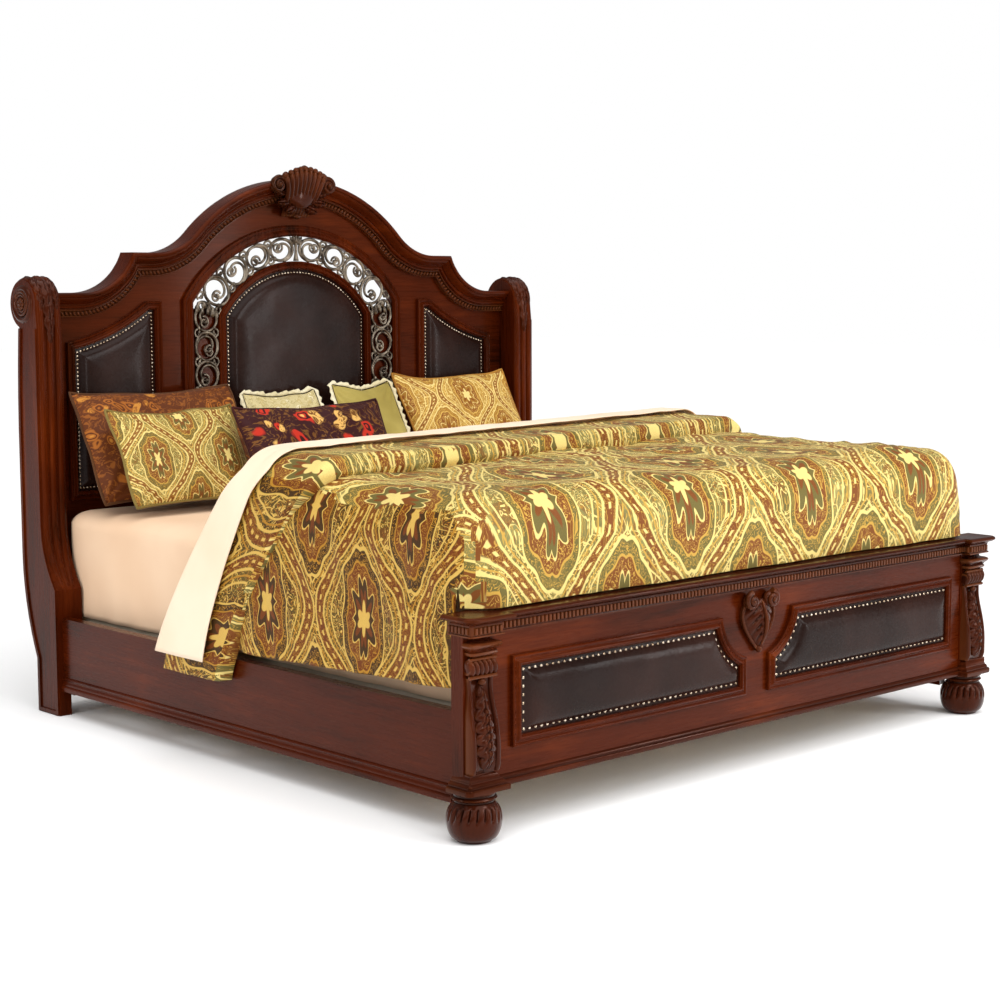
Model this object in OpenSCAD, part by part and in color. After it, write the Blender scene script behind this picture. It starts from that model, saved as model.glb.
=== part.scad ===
// Sleigh bed, king size. Millimetres. +Z up, +Y towards the headboard,
// +X to the right seen from the foot. The origin is on the floor at the
// middle of the overall box.

/* [Mattress] */
// Width of the mattress
mattress_w = 1930; // [1600:10:2100]
// Length of the mattress
mattress_l = 2030; // [1850:10:2200]
// Height of the mattress
mattress_h = 340; // [220:5:380]
// Height of the foundation under it
foundation_h = 140; // [100:5:200]
// Radius of the mattress's upright corners
mattress_r = 90; // [20:5:120]

/* [Side rails] */
// Thickness of a rail board
rail_t = 32; // [24:1:45]
// Height of a rail board
rail_h = 230; // [180:5:280]
// Floor to the underside of the rails
rail_floor = 80; // [60:1:110]
// Space between the mattress and a rail
rail_gap = 43; // [20:1:60]
// Height of the stepped moulding along a rail
rail_moulding_h = 45; // [25:1:70]

/* [Support] */
// Number of slats
slat_count = 5; // [3:2:9]
// Width of a slat
slat_w = 89; // [60:1:120]
// Thickness of a slat
slat_t = 20; // [16:1:30]
// Side of a square support leg
leg_w = 50; // [40:1:70]
// Radius of a levelling glide's stem
stem_r = 4; // [3:0.5:6]
// How far a levelling glide screws out
glide_travel = 12; // [6:1:16]

/* [Headboard] */
// Floor to the flat ends of the crown
crown_end_z = 1326; // [1150:1:1450]
// Rise from the flat ends to the shoulders
shoulder_rise = 130; // [90:1:170]
// Rise from the shoulders to the top of the arch
arch_rise = 258; // [200:1:300]
// Depth of the crown moulding, front to back
crown_depth = 84; // [70:1:110]
// Thickness of the headboard's board
board_t = 22; // [18:1:32]
// Width of a headboard post
post_w = 88; // [70:1:110]
// Depth of a headboard post, front to back
post_d = 124; // [105:1:145]
// Radius of the roll at the top of a post
roll_r = 76; // [65:1:90]

/* [Footboard] */
// Floor to the top of the footboard's cap
foot_top_z = 565; // [500:1:620]
// Thickness of the footboard's board
foot_board_t = 40; // [30:1:60]
// Width of a corner post
corner_w = 100; // [80:1:120]
// Depth of a corner post, front to back
corner_d = 43; // [40:1:70]
// Largest radius of a bun foot
bun_r = 70; // [58:1:85]
// Height of a bun foot
bun_h = 127; // [100:1:150]

/* [Panels] */
// Width of the moulding round a leather panel
frame_w = 28; // [20:1:36]
// Proud height of that moulding
frame_t = 18; // [12:1:26]
// Thickness of a leather pad
pad_t = 20; // [16:1:28]
// Radius of a nail head
nail_r = 4.5; // [3:0.5:6]
// Distance from one nail to the next
nail_pitch = 26; // [18:1:40]

/* [Hidden] */
$fn = 72;

wood = [0.30, 0.10, 0.04];
dark_wood = [0.20, 0.07, 0.03];
leather = [0.14, 0.09, 0.09];
steel = [0.6, 0.6, 0.62];
ARC_STEP = 4;

// Stations along the bed, from the axis of the bun feet at y = 0.
board_ahead = foot_board_t * 0.375;
foot_board_back = foot_board_t - board_ahead;
CORNER_AHEAD = 18;
corner_back = corner_d - CORNER_AHEAD;
TUCK_GAP = 23;
mattress_front = foot_board_back + TUCK_GAP;
mattress_back = mattress_front + mattress_l;
FRAME_CLEAR = 5;
frame_face = mattress_back + FRAME_CLEAR;
board_face = frame_face + frame_t;
board_back = board_face + board_t;
CROWN_AHEAD = 40;
crown_face = frame_face - CROWN_AHEAD;
POST_AHEAD = 69;
post_face = frame_face - POST_AHEAD;
post_back = post_face + post_d;
ROLL_BACK = 34;
roll_y = post_back + ROLL_BACK - roll_r;
CAP_LIP = 6;
CAP_AHEAD = 69;
foot_ahead = max(bun_r, CAP_AHEAD + CAP_LIP);
overall_l = foot_ahead + roll_y + roll_r;
y_shift = foot_ahead - overall_l / 2;

// Stations across the bed.
rail_in = mattress_w / 2 + rail_gap;
rail_out = rail_in + rail_t;
foot_x = rail_out;
post_in = rail_out - 70;
post_out = post_in + post_w;
corner_in = foot_x - corner_w / 2;
corner_out = foot_x + corner_w / 2;

// Heights.
rail_top = rail_floor + rail_h;
CLEAT_H = 40;
CLEAT_W = 25;
mattress_top = rail_top + mattress_h - 5;
mattress_z = mattress_top - mattress_h;
foundation_z = mattress_z - foundation_h;
slat_z = foundation_z - slat_t;
cleat_z = slat_z - CLEAT_H;
shoulder_z = crown_end_z + shoulder_rise;
arch_top_z = shoulder_z + arch_rise;
roll_z = crown_end_z - 35;
BOARD_FLOOR = 300;

// Moves a part from the foot-axis stations to the frame's own origin.
module place() {
    translate([0, y_shift, 0]) children();
}

// Both sides of the bed, from the part drawn at +X.
module both() {
    children();
    mirror([1, 0, 0]) children();
}

module one_side(side) {
    if (side < 0) mirror([1, 0, 0]) children();
    else children();
}

// Stands an outline drawn in (x, z) upright, from y0 to y1.
module upright(y0, y1) {
    translate([0, y1, 0]) rotate([90, 0, 0]) linear_extrude(height = y1 - y0) children();
}

// Stands an outline drawn in (y, z) on the side of the bed, from x0 to x1.
module sideways(x0, x1) {
    translate([x0, 0, 0]) rotate([90, 0, 90]) linear_extrude(height = x1 - x0) children();
}

function arc(cx, cy, r, a0, a1) =
    let (n = max(2, ceil(abs(a1 - a0) / ARC_STEP)))
    [for (i = [0 : n]) let (a = a0 + (a1 - a0) * i / n) [cx + r * cos(a), cy + r * sin(a)]];

function flip(points) = [for (i = [len(points) - 1 : -1 : 0]) [-points[i][0], points[i][1]]];

// ---- Crown of the headboard: a round arch that turns through an ogee into
// ---- the shoulders, then a concave sweep down to the flat ends.
BOARD_IN = 20;
COVE_IN = 36;
COVE_BACK = 8;
BEAD_BACK = 20;
ROPE_IN = 54;
ROPE_W = 20;
ROPE_BACK = 26;
CREST_T = 16;
CREST_DROP = 122;
ARCH_R = 600;
shoulder_flat = post_in * 0.619;
ogee_c = arch_rise - ARCH_R;
ogee_r = (shoulder_flat * shoulder_flat + ogee_c * ogee_c - ARCH_R * ARCH_R) / (2 * (ARCH_R + ogee_c));
arch_cz = arch_top_z - ARCH_R;
ogee_cz = shoulder_z + ogee_r;
ogee_a = atan2(ogee_cz - arch_cz, shoulder_flat);
SWEEP_R = 200;
sweep_x = post_in - 100;
sweep_cz = crown_end_z + SWEEP_R;

function crown_half(d) =
    let (
        drop = sweep_cz - (shoulder_z - d),
        reach = sqrt((SWEEP_R + d) * (SWEEP_R + d) - drop * drop)
    )
    concat(
        arc(0, arch_cz, ARCH_R - d, 90, ogee_a),
        arc(shoulder_flat, ogee_cz, ogee_r + d, 180 + ogee_a, 270),
        arc(sweep_x, sweep_cz, SWEEP_R + d, 180 + atan2(drop, reach), 270),
        [[post_in, crown_end_z - d]]
    );

// The crown's outline, inset by d, from the left end to the right end.
function crown_line(d) = concat(flip(crown_half(d)), crown_half(d));

module crown_band(d0, d1) {
    outer = crown_line(d0);
    inner = crown_line(d1);
    polygon(concat(outer, [for (i = [len(inner) - 1 : -1 : 0]) inner[i]]));
}

module crown_moulding() {
    color(wood) place() {
        upright(crown_face, crown_face + crown_depth) crown_band(0, BOARD_IN);
        upright(crown_face + COVE_BACK, board_face) crown_band(BOARD_IN - 1, COVE_IN);
        upright(crown_face + BEAD_BACK, board_face) crown_band(COVE_IN - 1, ROPE_IN);
    }
}

module crown_rope_band() {
    color(dark_wood) place()
        upright(crown_face + ROPE_BACK, board_face) crown_band(ROPE_IN, ROPE_IN + ROPE_W);
}

// A fan of lobes on the crown's top, with a volute at each side.
module crest_shell() {
    FAN_R = 64;
    LOBE_R = 26;
    VOLUTE_R = 32;
    ROOT_HALF = 54;
    ROOT_TOP = 79;
    color(dark_wood) place() {
        upright(crown_face - CREST_T, crown_face) {
            translate([0, arch_top_z - 22]) circle(r = FAN_R);
            translate([-FAN_R, arch_top_z - CREST_DROP]) square([2 * FAN_R, CREST_DROP]);
            both_flat() {
                translate([78, arch_top_z - 26]) circle(r = VOLUTE_R);
                translate([112, arch_top_z - 44]) circle(r = LOBE_R);
                translate([62, arch_top_z - 80]) circle(r = LOBE_R);
            }
        }
        // Its root, on the board under the rope band.
        upright(crown_face - 1, board_face) translate([-ROOT_HALF, arch_top_z - CREST_DROP])
            square([2 * ROOT_HALF, CREST_DROP - ROOT_TOP]);
    }
}

module both_flat() {
    children();
    mirror([1, 0]) children();
}

// ---- The arch in the middle of the headboard.
PANEL_FLOOR = 660;
ARCH_OUT_X = 468;
ARCH_OUT_R = 558;
ARCH_OUT_CZ = -458;
ARCH_FRAME_W = 38;
ARCH_IN_X = 327;
ARCH_IN_R = 387;
ARCH_IN_CZ = -411;

// An arch inset by a distance, its foot raised by another. The circles' centres
// hang from the shoulders' height.
module arch_shape(x, r, cz, inset, raise) {
    intersection() {
        translate([-(x - inset), PANEL_FLOOR + raise])
            square([2 * (x - inset), shoulder_z]);
        union() {
            translate([0, shoulder_z + cz]) circle(r = r - inset);
            translate([-x, PANEL_FLOOR - 1]) square([2 * x, shoulder_z + cz - PANEL_FLOOR + 1]);
        }
    }
}

module outer_arch(inset, raise) {
    arch_shape(ARCH_OUT_X, ARCH_OUT_R, ARCH_OUT_CZ, inset, raise);
}

module inner_arch(inset) {
    arch_shape(ARCH_IN_X, ARCH_IN_R, ARCH_IN_CZ, inset, inset);
}

module arch_outer_frame() {
    color(wood) place() {
        difference() {
            upright(frame_face, board_face) outer_arch(0, 0);
            upright(frame_face - 1, board_face + 1) outer_arch(ARCH_FRAME_W, -1);
        }
    }
}

module arch_inner_frame() {
    color(wood) place() {
        difference() {
            upright(frame_face, board_face) inner_arch(0);
            upright(frame_face - 1, board_face + 1) inner_arch(frame_w);
        }
    }
}

FRET_T = 10;
HOLE_R = 34;
HOLE_STEP = 84;
fret_x = (ARCH_OUT_X - ARCH_FRAME_W + ARCH_IN_X) / 2;
fret_r = (ARCH_OUT_R - ARCH_FRAME_W + ARCH_IN_R) / 2;
fret_cz = shoulder_z + (ARCH_OUT_CZ + ARCH_IN_CZ) / 2;
fret_turn = 2 * asin(HOLE_STEP / 2 / fret_r);
fret_span = floor((90 - acos(fret_x / fret_r)) / fret_turn);
fret_spring = fret_cz + fret_r * cos(fret_span * fret_turn);

// Open scrollwork between the two arches: a band with a row of round holes.
module arch_fretwork() {
    color([0.42, 0.36, 0.26]) place() difference() {
        upright(board_face - FRET_T, board_face) outer_arch(ARCH_FRAME_W, 0);
        upright(board_face - FRET_T - 1, board_face + 1) {
            inner_arch(0);
            for (i = [-fret_span : fret_span])
                translate([fret_r * sin(i * fret_turn), fret_cz + fret_r * cos(i * fret_turn)])
                    circle(r = HOLE_R);
            both_flat() for (z = [fret_spring - HOLE_STEP : -HOLE_STEP : PANEL_FLOOR + ARCH_FRAME_W + HOLE_R + 4])
                translate([fret_x, z]) circle(r = HOLE_R);
        }
    }
}

// ---- Side panels of the headboard, with a sloping concave top.
SIDE_IN_X = 553;
side_out_x = post_in - 61;
SLOPE_R = 715;
SLOPE_X = 1039;
slope_z = shoulder_z + 415;
SIDE_TOP_DROP = 159;

module side_shape(inset) {
    difference() {
        translate([SIDE_IN_X + inset, PANEL_FLOOR + inset])
            square([
                side_out_x - SIDE_IN_X - 2 * inset,
                shoulder_z - SIDE_TOP_DROP - PANEL_FLOOR - 2 * inset
            ]);
        translate([SLOPE_X, slope_z]) circle(r = SLOPE_R + inset, $fn = 180);
    }
}

module side_frame(side) {
    color(wood) place() one_side(side) difference() {
        upright(frame_face, board_face) side_shape(0);
        upright(frame_face - 1, board_face + 1) side_shape(frame_w);
    }
}

module side_pad(side) {
    color(leather) place() one_side(side)
        upright(board_face - pad_t, board_face) side_shape(frame_w);
}

module leather_centre_panel() {
    color(leather) place()
        upright(board_face - pad_t, board_face) inner_arch(frame_w);
}

// The board is cut out behind the arched stretch of the fretwork.
module headboard_board() {
    OPEN_RISE = 250;
    LAP = 4;
    open_z = fret_cz + OPEN_RISE;
    color(wood) place() difference() {
        upright(board_face, board_back)
            polygon(concat(
                [[post_in, BOARD_FLOOR], [-post_in, BOARD_FLOOR]],
                crown_line(BOARD_IN)
            ));
        upright(board_face - 1, board_back + 1) difference() {
            intersection() {
                translate([0, shoulder_z + ARCH_OUT_CZ])
                    circle(r = ARCH_OUT_R - ARCH_FRAME_W + LAP);
                translate([-ARCH_OUT_X + ARCH_FRAME_W, open_z])
                    square([2 * (ARCH_OUT_X - ARCH_FRAME_W), shoulder_z]);
            }
            translate([0, shoulder_z + ARCH_IN_CZ]) circle(r = ARCH_IN_R - LAP);
        }
    }
}

LOWER_RAIL_Z = 45;
LOWER_RAIL_T = 30;
SLAT_ROOM = 10;
module headboard_lower_rail() {
    color(wood) place() translate([-post_in, post_face - LOWER_RAIL_T / 2, LOWER_RAIL_Z])
        cube([2 * post_in, LOWER_RAIL_T, slat_z - SLAT_ROOM - LOWER_RAIL_Z]);
}

// ---- Headboard posts: an S-shaped side profile with a roll at the top.
SWEEP_TOP = 600;
SWEEP_END = 400;
SWEEP_OUT = 76;
HEEL_TOP = 500;
HEEL_END = 172;
HEEL_IN = 74;
NECK_LOW = 850;
NECK_IN = 16;
neck_z = roll_z - roll_r;

// The front edge runs a little inside the roll, so that the two are one.
ROLL_LAP = 0.97;

function post_front(z) =
    let (t = max(0, min(1, (SWEEP_TOP - z) / (SWEEP_TOP - SWEEP_END)))) post_face - SWEEP_OUT * t * t;
function post_rear(z) =
    let (
        t = max(0, min(1, (HEEL_TOP - z) / (HEEL_TOP - HEEL_END))),
        u = max(0, (z - NECK_LOW) / (neck_z - NECK_LOW))
    )
    post_back - HEEL_IN * t * t - NECK_IN * u * u;

front_line = [for (z = [0, SWEEP_END, 430, 460, 490, 520, 550, SWEEP_TOP]) [post_front(z), z]];
rear_line = [for (z = [neck_z, 1100, 1000, 900, HEEL_TOP, 450, 400, 350, 300, 250, 210, HEEL_END, 0]) [post_rear(z), z]];

// Inset by d on every edge but the foot.
module post_profile(d) {
    polygon(concat(
        [for (p = front_line) [p[0] + d, max(p[1], d)]],
        [
            [post_face + d, roll_z - roll_r],
            [roll_y - roll_r * ROLL_LAP + d, roll_z],
            [roll_y, roll_z]
        ],
        [for (p = rear_line) [p[0] - d, max(p[1], d)]]
    ));
    translate([roll_y, roll_z]) circle(r = roll_r - d);
}

REED_H = 6;
LEG_W = 42;
// Below the rails only the outer part of the post goes down to the floor.
module headboard_post(side) {
    color(dark_wood) place() one_side(side) difference() {
        sideways(post_in, post_out) post_profile(0);
        translate([post_in - 1, post_front(0) - 1, -1])
            cube([post_w - LEG_W + 1, post_d + SWEEP_OUT + 2, rail_floor + 1]);
        joint_at(rail_ends[1]) post_sinkings();
    }
}

REEDS = 3;
reed_pitch = post_w / REEDS;
REED_GAP = 5;

// The post's front and roll grown by a distance, from a height up.
module front_shape(grow, low) {
    polygon(concat(
        [[post_front(low) - grow, low]],
        [for (p = front_line) if (p[1] > low) [p[0] - grow, p[1]]],
        [
            [post_face - grow, roll_z - roll_r],
            [roll_y - roll_r * ROLL_LAP - grow, roll_z],
            [roll_y, roll_z],
            [roll_y, low]
        ]
    ));
    translate([roll_y, roll_z]) circle(r = roll_r + grow);
}

// A skin on the post's front that goes over the roll's top.
module front_skin(from, to, low) {
    difference() {
        front_shape(to, low);
        front_shape(from, low - 1);
        translate([roll_y, 0]) square([post_d, arch_top_z]);
    }
}

module post_reeding() {
    color(wood) place() both() for (i = [0 : REEDS - 1])
        sideways(post_in + i * reed_pitch + REED_GAP / 2, post_in + (i + 1) * reed_pitch - REED_GAP / 2)
            front_skin(0, REED_H, SWEEP_END);
}

ACANTHUS_W = 40;
ACANTHUS_T = 10;
ACANTHUS_DROP = 130;
module post_acanthus() {
    mid = (post_in + post_out) / 2;
    color(dark_wood) place() both() sideways(mid - ACANTHUS_W / 2, mid + ACANTHUS_W / 2)
        front_skin(REED_H, REED_H + ACANTHUS_T, roll_z - ACANTHUS_DROP);
}

ROSETTE_R = 44;
ROSETTE_T = 8;
module scroll_rosettes() {
    color(dark_wood) place() both() translate([post_out, roll_y, roll_z]) rotate([0, 90, 0])
        cylinder(h = ROSETTE_T, r = ROSETTE_R);
}

MOULDING_IN = 3;
MOULDING_W = 12;
MOULDING_T = 5;
module post_side_mouldings() {
    color(wood) place() both() sideways(post_out, post_out + MOULDING_T) difference() {
        post_profile(MOULDING_IN);
        post_profile(MOULDING_IN + MOULDING_W);
        translate([roll_y - 2 * roll_r, roll_z - roll_r]) square([4 * roll_r, 3 * roll_r]);
    }
}

// ---- Nails: evenly spaced along a list of corner points.
module nail_run(points) {
    for (i = [0 : len(points) - 2]) {
        a = points[i];
        b = points[i + 1];
        n = max(1, round(norm(b - a) / nail_pitch));
        for (k = [0 : n - 1]) translate(a + (b - a) * k / n) circle(r = nail_r);
    }
}

NAIL_IN = 11;
NAIL_T = 3;
function slope_point(x, inset) =
    [x, slope_z - sqrt(pow(SLOPE_R + inset, 2) - pow(SLOPE_X - x, 2))];

// Nails stand on the leather, just inside its moulding.
module headboard_nails() {
    d = frame_w + NAIL_IN;
    upright(board_face - pad_t - NAIL_T, board_face - pad_t) {
        both_flat() {
            x0 = SIDE_IN_X + d;
            x1 = side_out_x - d;
            nail_run([
                [x0, PANEL_FLOOR + d],
                [x1, PANEL_FLOOR + d],
                slope_point(x1, d),
                slope_point((x0 + x1 * 2) / 3, d),
                slope_point((x0 * 2 + x1) / 3, d),
                slope_point(x0 + 6, d),
                [x0, PANEL_FLOOR + d]
            ]);
            nail_run([
                [0, PANEL_FLOOR + d],
                [ARCH_IN_X - d, PANEL_FLOOR + d],
                [ARCH_IN_X - d, arch_spring(d)]
            ]);
            steps = round((90 - acos((ARCH_IN_X - d) / (ARCH_IN_R - d))) * PI / 180 * ARCH_IN_R / nail_pitch);
            first = acos((ARCH_IN_X - d) / (ARCH_IN_R - d));
            for (k = [0 : steps]) {
                a = first + (90 - first) * k / steps;
                translate([(ARCH_IN_R - d) * cos(a), shoulder_z + ARCH_IN_CZ + (ARCH_IN_R - d) * sin(a)])
                    circle(r = nail_r);
            }
        }
    }
}

function arch_spring(d) =
    shoulder_z + ARCH_IN_CZ + sqrt(pow(ARCH_IN_R - d, 2) - pow(ARCH_IN_X - d, 2));

// ---- Footboard.
foot_face = -board_ahead;
FOOT_FRAME_T = 15;
foot_frame_face = foot_face - FOOT_FRAME_T;
FOOT_IN_X = 48;
foot_out_x = corner_in - 58;
foot_panel_z = foot_top_z - 347;
FOOT_PANEL_H = 230;
FOOT_CUT_R = 152;
foot_cut_z = foot_panel_z + FOOT_PANEL_H + 22;
base_z = bun_h;
cap_z = foot_top_z - 25;
dentil_z = cap_z - 25;
CAP_OVER = 25;
CAP_MID = 29;
CAP_EDGE = 10;
CAP_R = 30;
DENTIL_BACK = 14;

module foot_shape(inset) {
    difference() {
        translate([FOOT_IN_X + inset, foot_panel_z + inset])
            square([foot_out_x - FOOT_IN_X - 2 * inset, FOOT_PANEL_H - 2 * inset]);
        translate([0, foot_cut_z]) circle(r = FOOT_CUT_R + inset);
    }
}

module footboard_panel() {
    color(wood) place() translate([-corner_in, foot_face, base_z])
        cube([2 * corner_in, foot_board_t, dentil_z - base_z]);
}

module foot_frame(side) {
    color(wood) place() one_side(side) difference() {
        upright(foot_frame_face, foot_face) foot_shape(0);
        upright(foot_frame_face - 1, foot_face + 1) foot_shape(frame_w);
    }
}

module foot_pad(side) {
    color(leather) place() one_side(side)
        upright(foot_face - pad_t, foot_face) foot_shape(frame_w);
}

module footboard_nails() {
    d = frame_w + NAIL_IN;
    cut = FOOT_CUT_R + d;
    x0 = FOOT_IN_X + d;
    z0 = foot_panel_z + d;
    z1 = foot_panel_z + FOOT_PANEL_H - d;
    a0 = -acos(x0 / cut);
    a1 = -asin((foot_cut_z - z1) / cut);
    steps = round((a1 - a0) * PI / 180 * cut / nail_pitch);
    upright(foot_face - pad_t - NAIL_T, foot_face - pad_t) both_flat() {
        nail_run([
            [x0, foot_cut_z + cut * sin(a0)],
            [x0, z0],
            [foot_out_x - d, z0],
            [foot_out_x - d, z1],
            [cut * cos(a1), z1]
        ]);
        for (k = [1 : steps]) {
            a = a1 + (a0 - a1) * k / steps;
            if (k < steps) translate([cut * cos(a), foot_cut_z + cut * sin(a)]) circle(r = nail_r);
        }
    }
}

module nailheads() {
    color([0.55, 0.5, 0.45]) place() {
        headboard_nails();
        footboard_nails();
    }
}

module rounded_bar(x0, x1, y0, y1, r) {
    difference() {
        translate([x0, y0]) square([x1 - x0, y1 - y0]);
        translate([x1 - r, y0]) square([r, r]);
    }
    translate([x1 - r, y0 + r]) circle(r = r);
}

cap_back = foot_board_back + 10;
cap_rear = max(cap_back, corner_back);
module cap_layer(z, h, grow) {
    translate([0, 0, z]) linear_extrude(height = h) both_flat() {
        rounded_bar(corner_in - CAP_OVER, corner_out + CAP_OVER - CAP_LIP + grow, -CAP_AHEAD - grow, cap_rear, CAP_R);
        translate([-1, foot_face - CAP_MID - grow])
            square([corner_in, cap_back - foot_face + CAP_MID + grow]);
    }
}

module footboard_cap() {
    color(dark_wood) place() {
        cap_layer(cap_z, CAP_EDGE, 0);
        cap_layer(cap_z + CAP_EDGE - 1, foot_top_z - cap_z - CAP_EDGE + 1, CAP_LIP);
    }
}

module footboard_dentil_band() {
    color(dark_wood) place() cap_layer(dentil_z, cap_z - dentil_z, -DENTIL_BACK);
}

BASE_H = 48;
BASE_STEP_H = 24;
BASE_STEP = 8;
BASE_AHEAD = 54;
BASE_MID = 6;
BASE_R = 10;
module base_layer(z, h, grow) {
    translate([0, 0, z]) linear_extrude(height = h) both_flat() {
        rounded_bar(corner_in - 8, corner_out + 12 + grow, -BASE_AHEAD - grow, corner_back, BASE_R);
        translate([-1, foot_face - BASE_MID - grow]) square([corner_in, BASE_MID + grow]);
    }
}

module footboard_base_moulding() {
    color(dark_wood) place() difference() {
        union() {
            base_layer(base_z, BASE_STEP_H, BASE_STEP);
            base_layer(base_z + BASE_STEP_H - 1, BASE_H - BASE_STEP_H + 1, 0);
        }
        both() translate([corner_in, -CORNER_AHEAD, base_z - 1])
            cube([corner_w, corner_d + 20, BASE_H + 2]);
        translate([-corner_in - 9, foot_face, base_z - 1])
            cube([2 * corner_in + 18, foot_board_t * 2, BASE_H + 2]);
    }
}

cartouche_z = foot_top_z - 219;
CARTOUCHE_H = 136;
CARTOUCHE_HALF = 66;
CARTOUCHE_T = 36;
CARTOUCHE_STEPS = 16;

// Half the width of the shield, t from 0 at its point to 1 at its top.
function shield_half(t) = CARTOUCHE_HALF * pow(sin(180 * (1 - pow(1 - t, 0.6))), 0.9);

// A shield with a volute at each shoulder and a ball under its point.
module footboard_cartouche() {
    VOLUTE_R = 24;
    BALL_R = 13;
    side = [for (i = [1 : CARTOUCHE_STEPS - 1]) let (t = i / CARTOUCHE_STEPS)
        [shield_half(t), cartouche_z + CARTOUCHE_H * t]];
    color(dark_wood) place() {
        upright(foot_face - CARTOUCHE_T, foot_face) polygon(concat(side, flip(side)));
        upright(foot_face - CARTOUCHE_T - 8, foot_face) {
            both_flat() translate([44, cartouche_z + CARTOUCHE_H - 6]) circle(r = VOLUTE_R);
            translate([0, cartouche_z + BALL_R - 10]) circle(r = BALL_R);
        }
    }
}

// ---- Corner posts of the footboard.
module footboard_post(side) {
    color(wood) place() one_side(side) difference() {
        translate([corner_in, -CORNER_AHEAD, base_z]) cube([corner_w, corner_d, dentil_z - base_z]);
        joint_at(rail_ends[0]) post_sinkings();
        translate([foot_x, 0, base_z - 1]) cylinder(h = BUN_SPIGOT_H + 2, r = BUN_SPIGOT_R);
    }
}

CORBEL_IN = 5;
abacus_z = dentil_z - 48;
ABACUS_T = 32;
ABACUS_AHEAD = 55;
ABACUS_IN = 3;
NECK_AHEAD = 47;
GADROON_R = 20;
GADROON_AHEAD = 26;
gadroon_z = abacus_z - 32;
module post_capitals() {
    color(dark_wood) place() both() difference() {
        union() {
            translate([corner_in + ABACUS_IN, -ABACUS_AHEAD, abacus_z])
                cube([corner_w - 2 * ABACUS_IN, ABACUS_AHEAD, ABACUS_T]);
            translate([corner_in + CORBEL_IN, -GADROON_AHEAD, gadroon_z])
                rotate([0, 90, 0]) cylinder(h = corner_w - 2 * CORBEL_IN, r = GADROON_R);
            translate([corner_in + 10, -NECK_AHEAD, gadroon_z + GADROON_R - 4])
                cube([corner_w - 20, NECK_AHEAD, abacus_z - gadroon_z - GADROON_R + 5]);
        }
        translate([corner_in - 1, -CORNER_AHEAD, base_z]) cube([corner_w + 1, corner_d, dentil_z - base_z]);
    }
}

CORBEL_THIN = 4;
CORBEL_BULGE = 24;
corbel_top = gadroon_z - GADROON_R - 4;
corbel_foot = base_z + BASE_H;
// How far a corbel stands out, t from 0 at its top to 1 at its foot.
function corbel_front(t) = CORBEL_THIN + CORBEL_BULGE * (0.5 - 0.5 * cos(180 * min(1, t * 1.3)));
module corbels() {
    color(wood) place() both() sideways(corner_in + CORBEL_IN, corner_out - CORBEL_IN) polygon(concat(
        [[-CORNER_AHEAD, corbel_top]],
        [for (t = [0 : 0.1 : 1])
            [-CORNER_AHEAD - corbel_front(t), corbel_top + (corbel_foot + 14 - corbel_top) * t]],
        [[-CORNER_AHEAD - 14, corbel_foot], [-CORNER_AHEAD, corbel_foot]]
    ));
}

BUN_SPIGOT_R = 12;
BUN_SPIGOT_H = 25;
BUN_FLAT_R = 44;
BUN_NECK_R = 54;
BUN_BELLY = 24;
bun_mid = bun_h * 0.49;
module bun_foot(side) {
    color(dark_wood) place() one_side(side) translate([foot_x, 0, 0]) rotate_extrude() polygon(concat(
        [[0, 0], [BUN_FLAT_R, 0]],
        [for (a = [-72 : 8 : 64]) [
            bun_r - BUN_BELLY + BUN_BELLY * cos(a),
            bun_mid + (a < 0 ? bun_mid : bun_h * 0.36) * sin(a)
        ]],
        [
            [BUN_NECK_R, bun_h * 0.86],
            [BUN_NECK_R + 5, bun_h * 0.9],
            [BUN_NECK_R + 5, bun_h],
            [BUN_SPIGOT_R, bun_h],
            [BUN_SPIGOT_R, bun_h + BUN_SPIGOT_H],
            [0, bun_h + BUN_SPIGOT_H]
        ]
    ));
}

// ---- Side rails and their brackets.
PLATE_T = 3;
PLATE_W = 24;
plate_z = bun_h + 8;
plate_h = rail_top - plate_z - 20;
HOOK_T = 4;
HOOK_REACH = 12;
HOOK_H = 22;
HOOK_CLEAR = 0.5;
plate_x = rail_in + rail_t / 2;
hook_steps = [18, plate_h - 18 - HOOK_H];
screw_steps = [9, plate_h - 9];
SCREW_R = 2.5;
SCREW_L = 30;
rail_front = corner_back;
rail_rear = post_front(0);

// The two joints between a rail and its posts: [y of the joint, way into the post].
rail_ends = [[rail_front, -1], [rail_rear, 1]];

// Puts children at a joint: +Y goes into the post, Z = 0 at the plates' foot.
module joint_at(end) {
    translate([plate_x, end[0], plate_z]) mirror([0, end[1] < 0 ? 1 : 0, 0]) children();
}

module plate_blank(y0) {
    translate([-PLATE_W / 2, y0, 0]) cube([PLATE_W, PLATE_T, plate_h]);
}

module screw_line(y0, y1) {
    for (h = screw_steps) translate([0, y0, h]) rotate([-90, 0, 0]) cylinder(h = y1 - y0, r = SCREW_R);
}

module hook_slots(y1) {
    for (h = hook_steps) translate([-HOOK_T / 2 - HOOK_CLEAR, -1, h - HOOK_CLEAR])
        cube([HOOK_T + 2 * HOOK_CLEAR, y1 + 1, HOOK_H + 2 * HOOK_CLEAR]);
}

module post_sinkings() {
    translate([0, -1, 0]) plate_blank(0);
    plate_blank(0);
    hook_slots(HOOK_REACH + 1);
    screw_line(0, SCREW_L);
}

// The lower corner of a rail is cut back round the bun foot.
module foot_room() {
    translate([foot_x, 0, rail_floor - 1]) cylinder(h = bun_h - rail_floor + 1, r = bun_r + 2);
}

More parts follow.
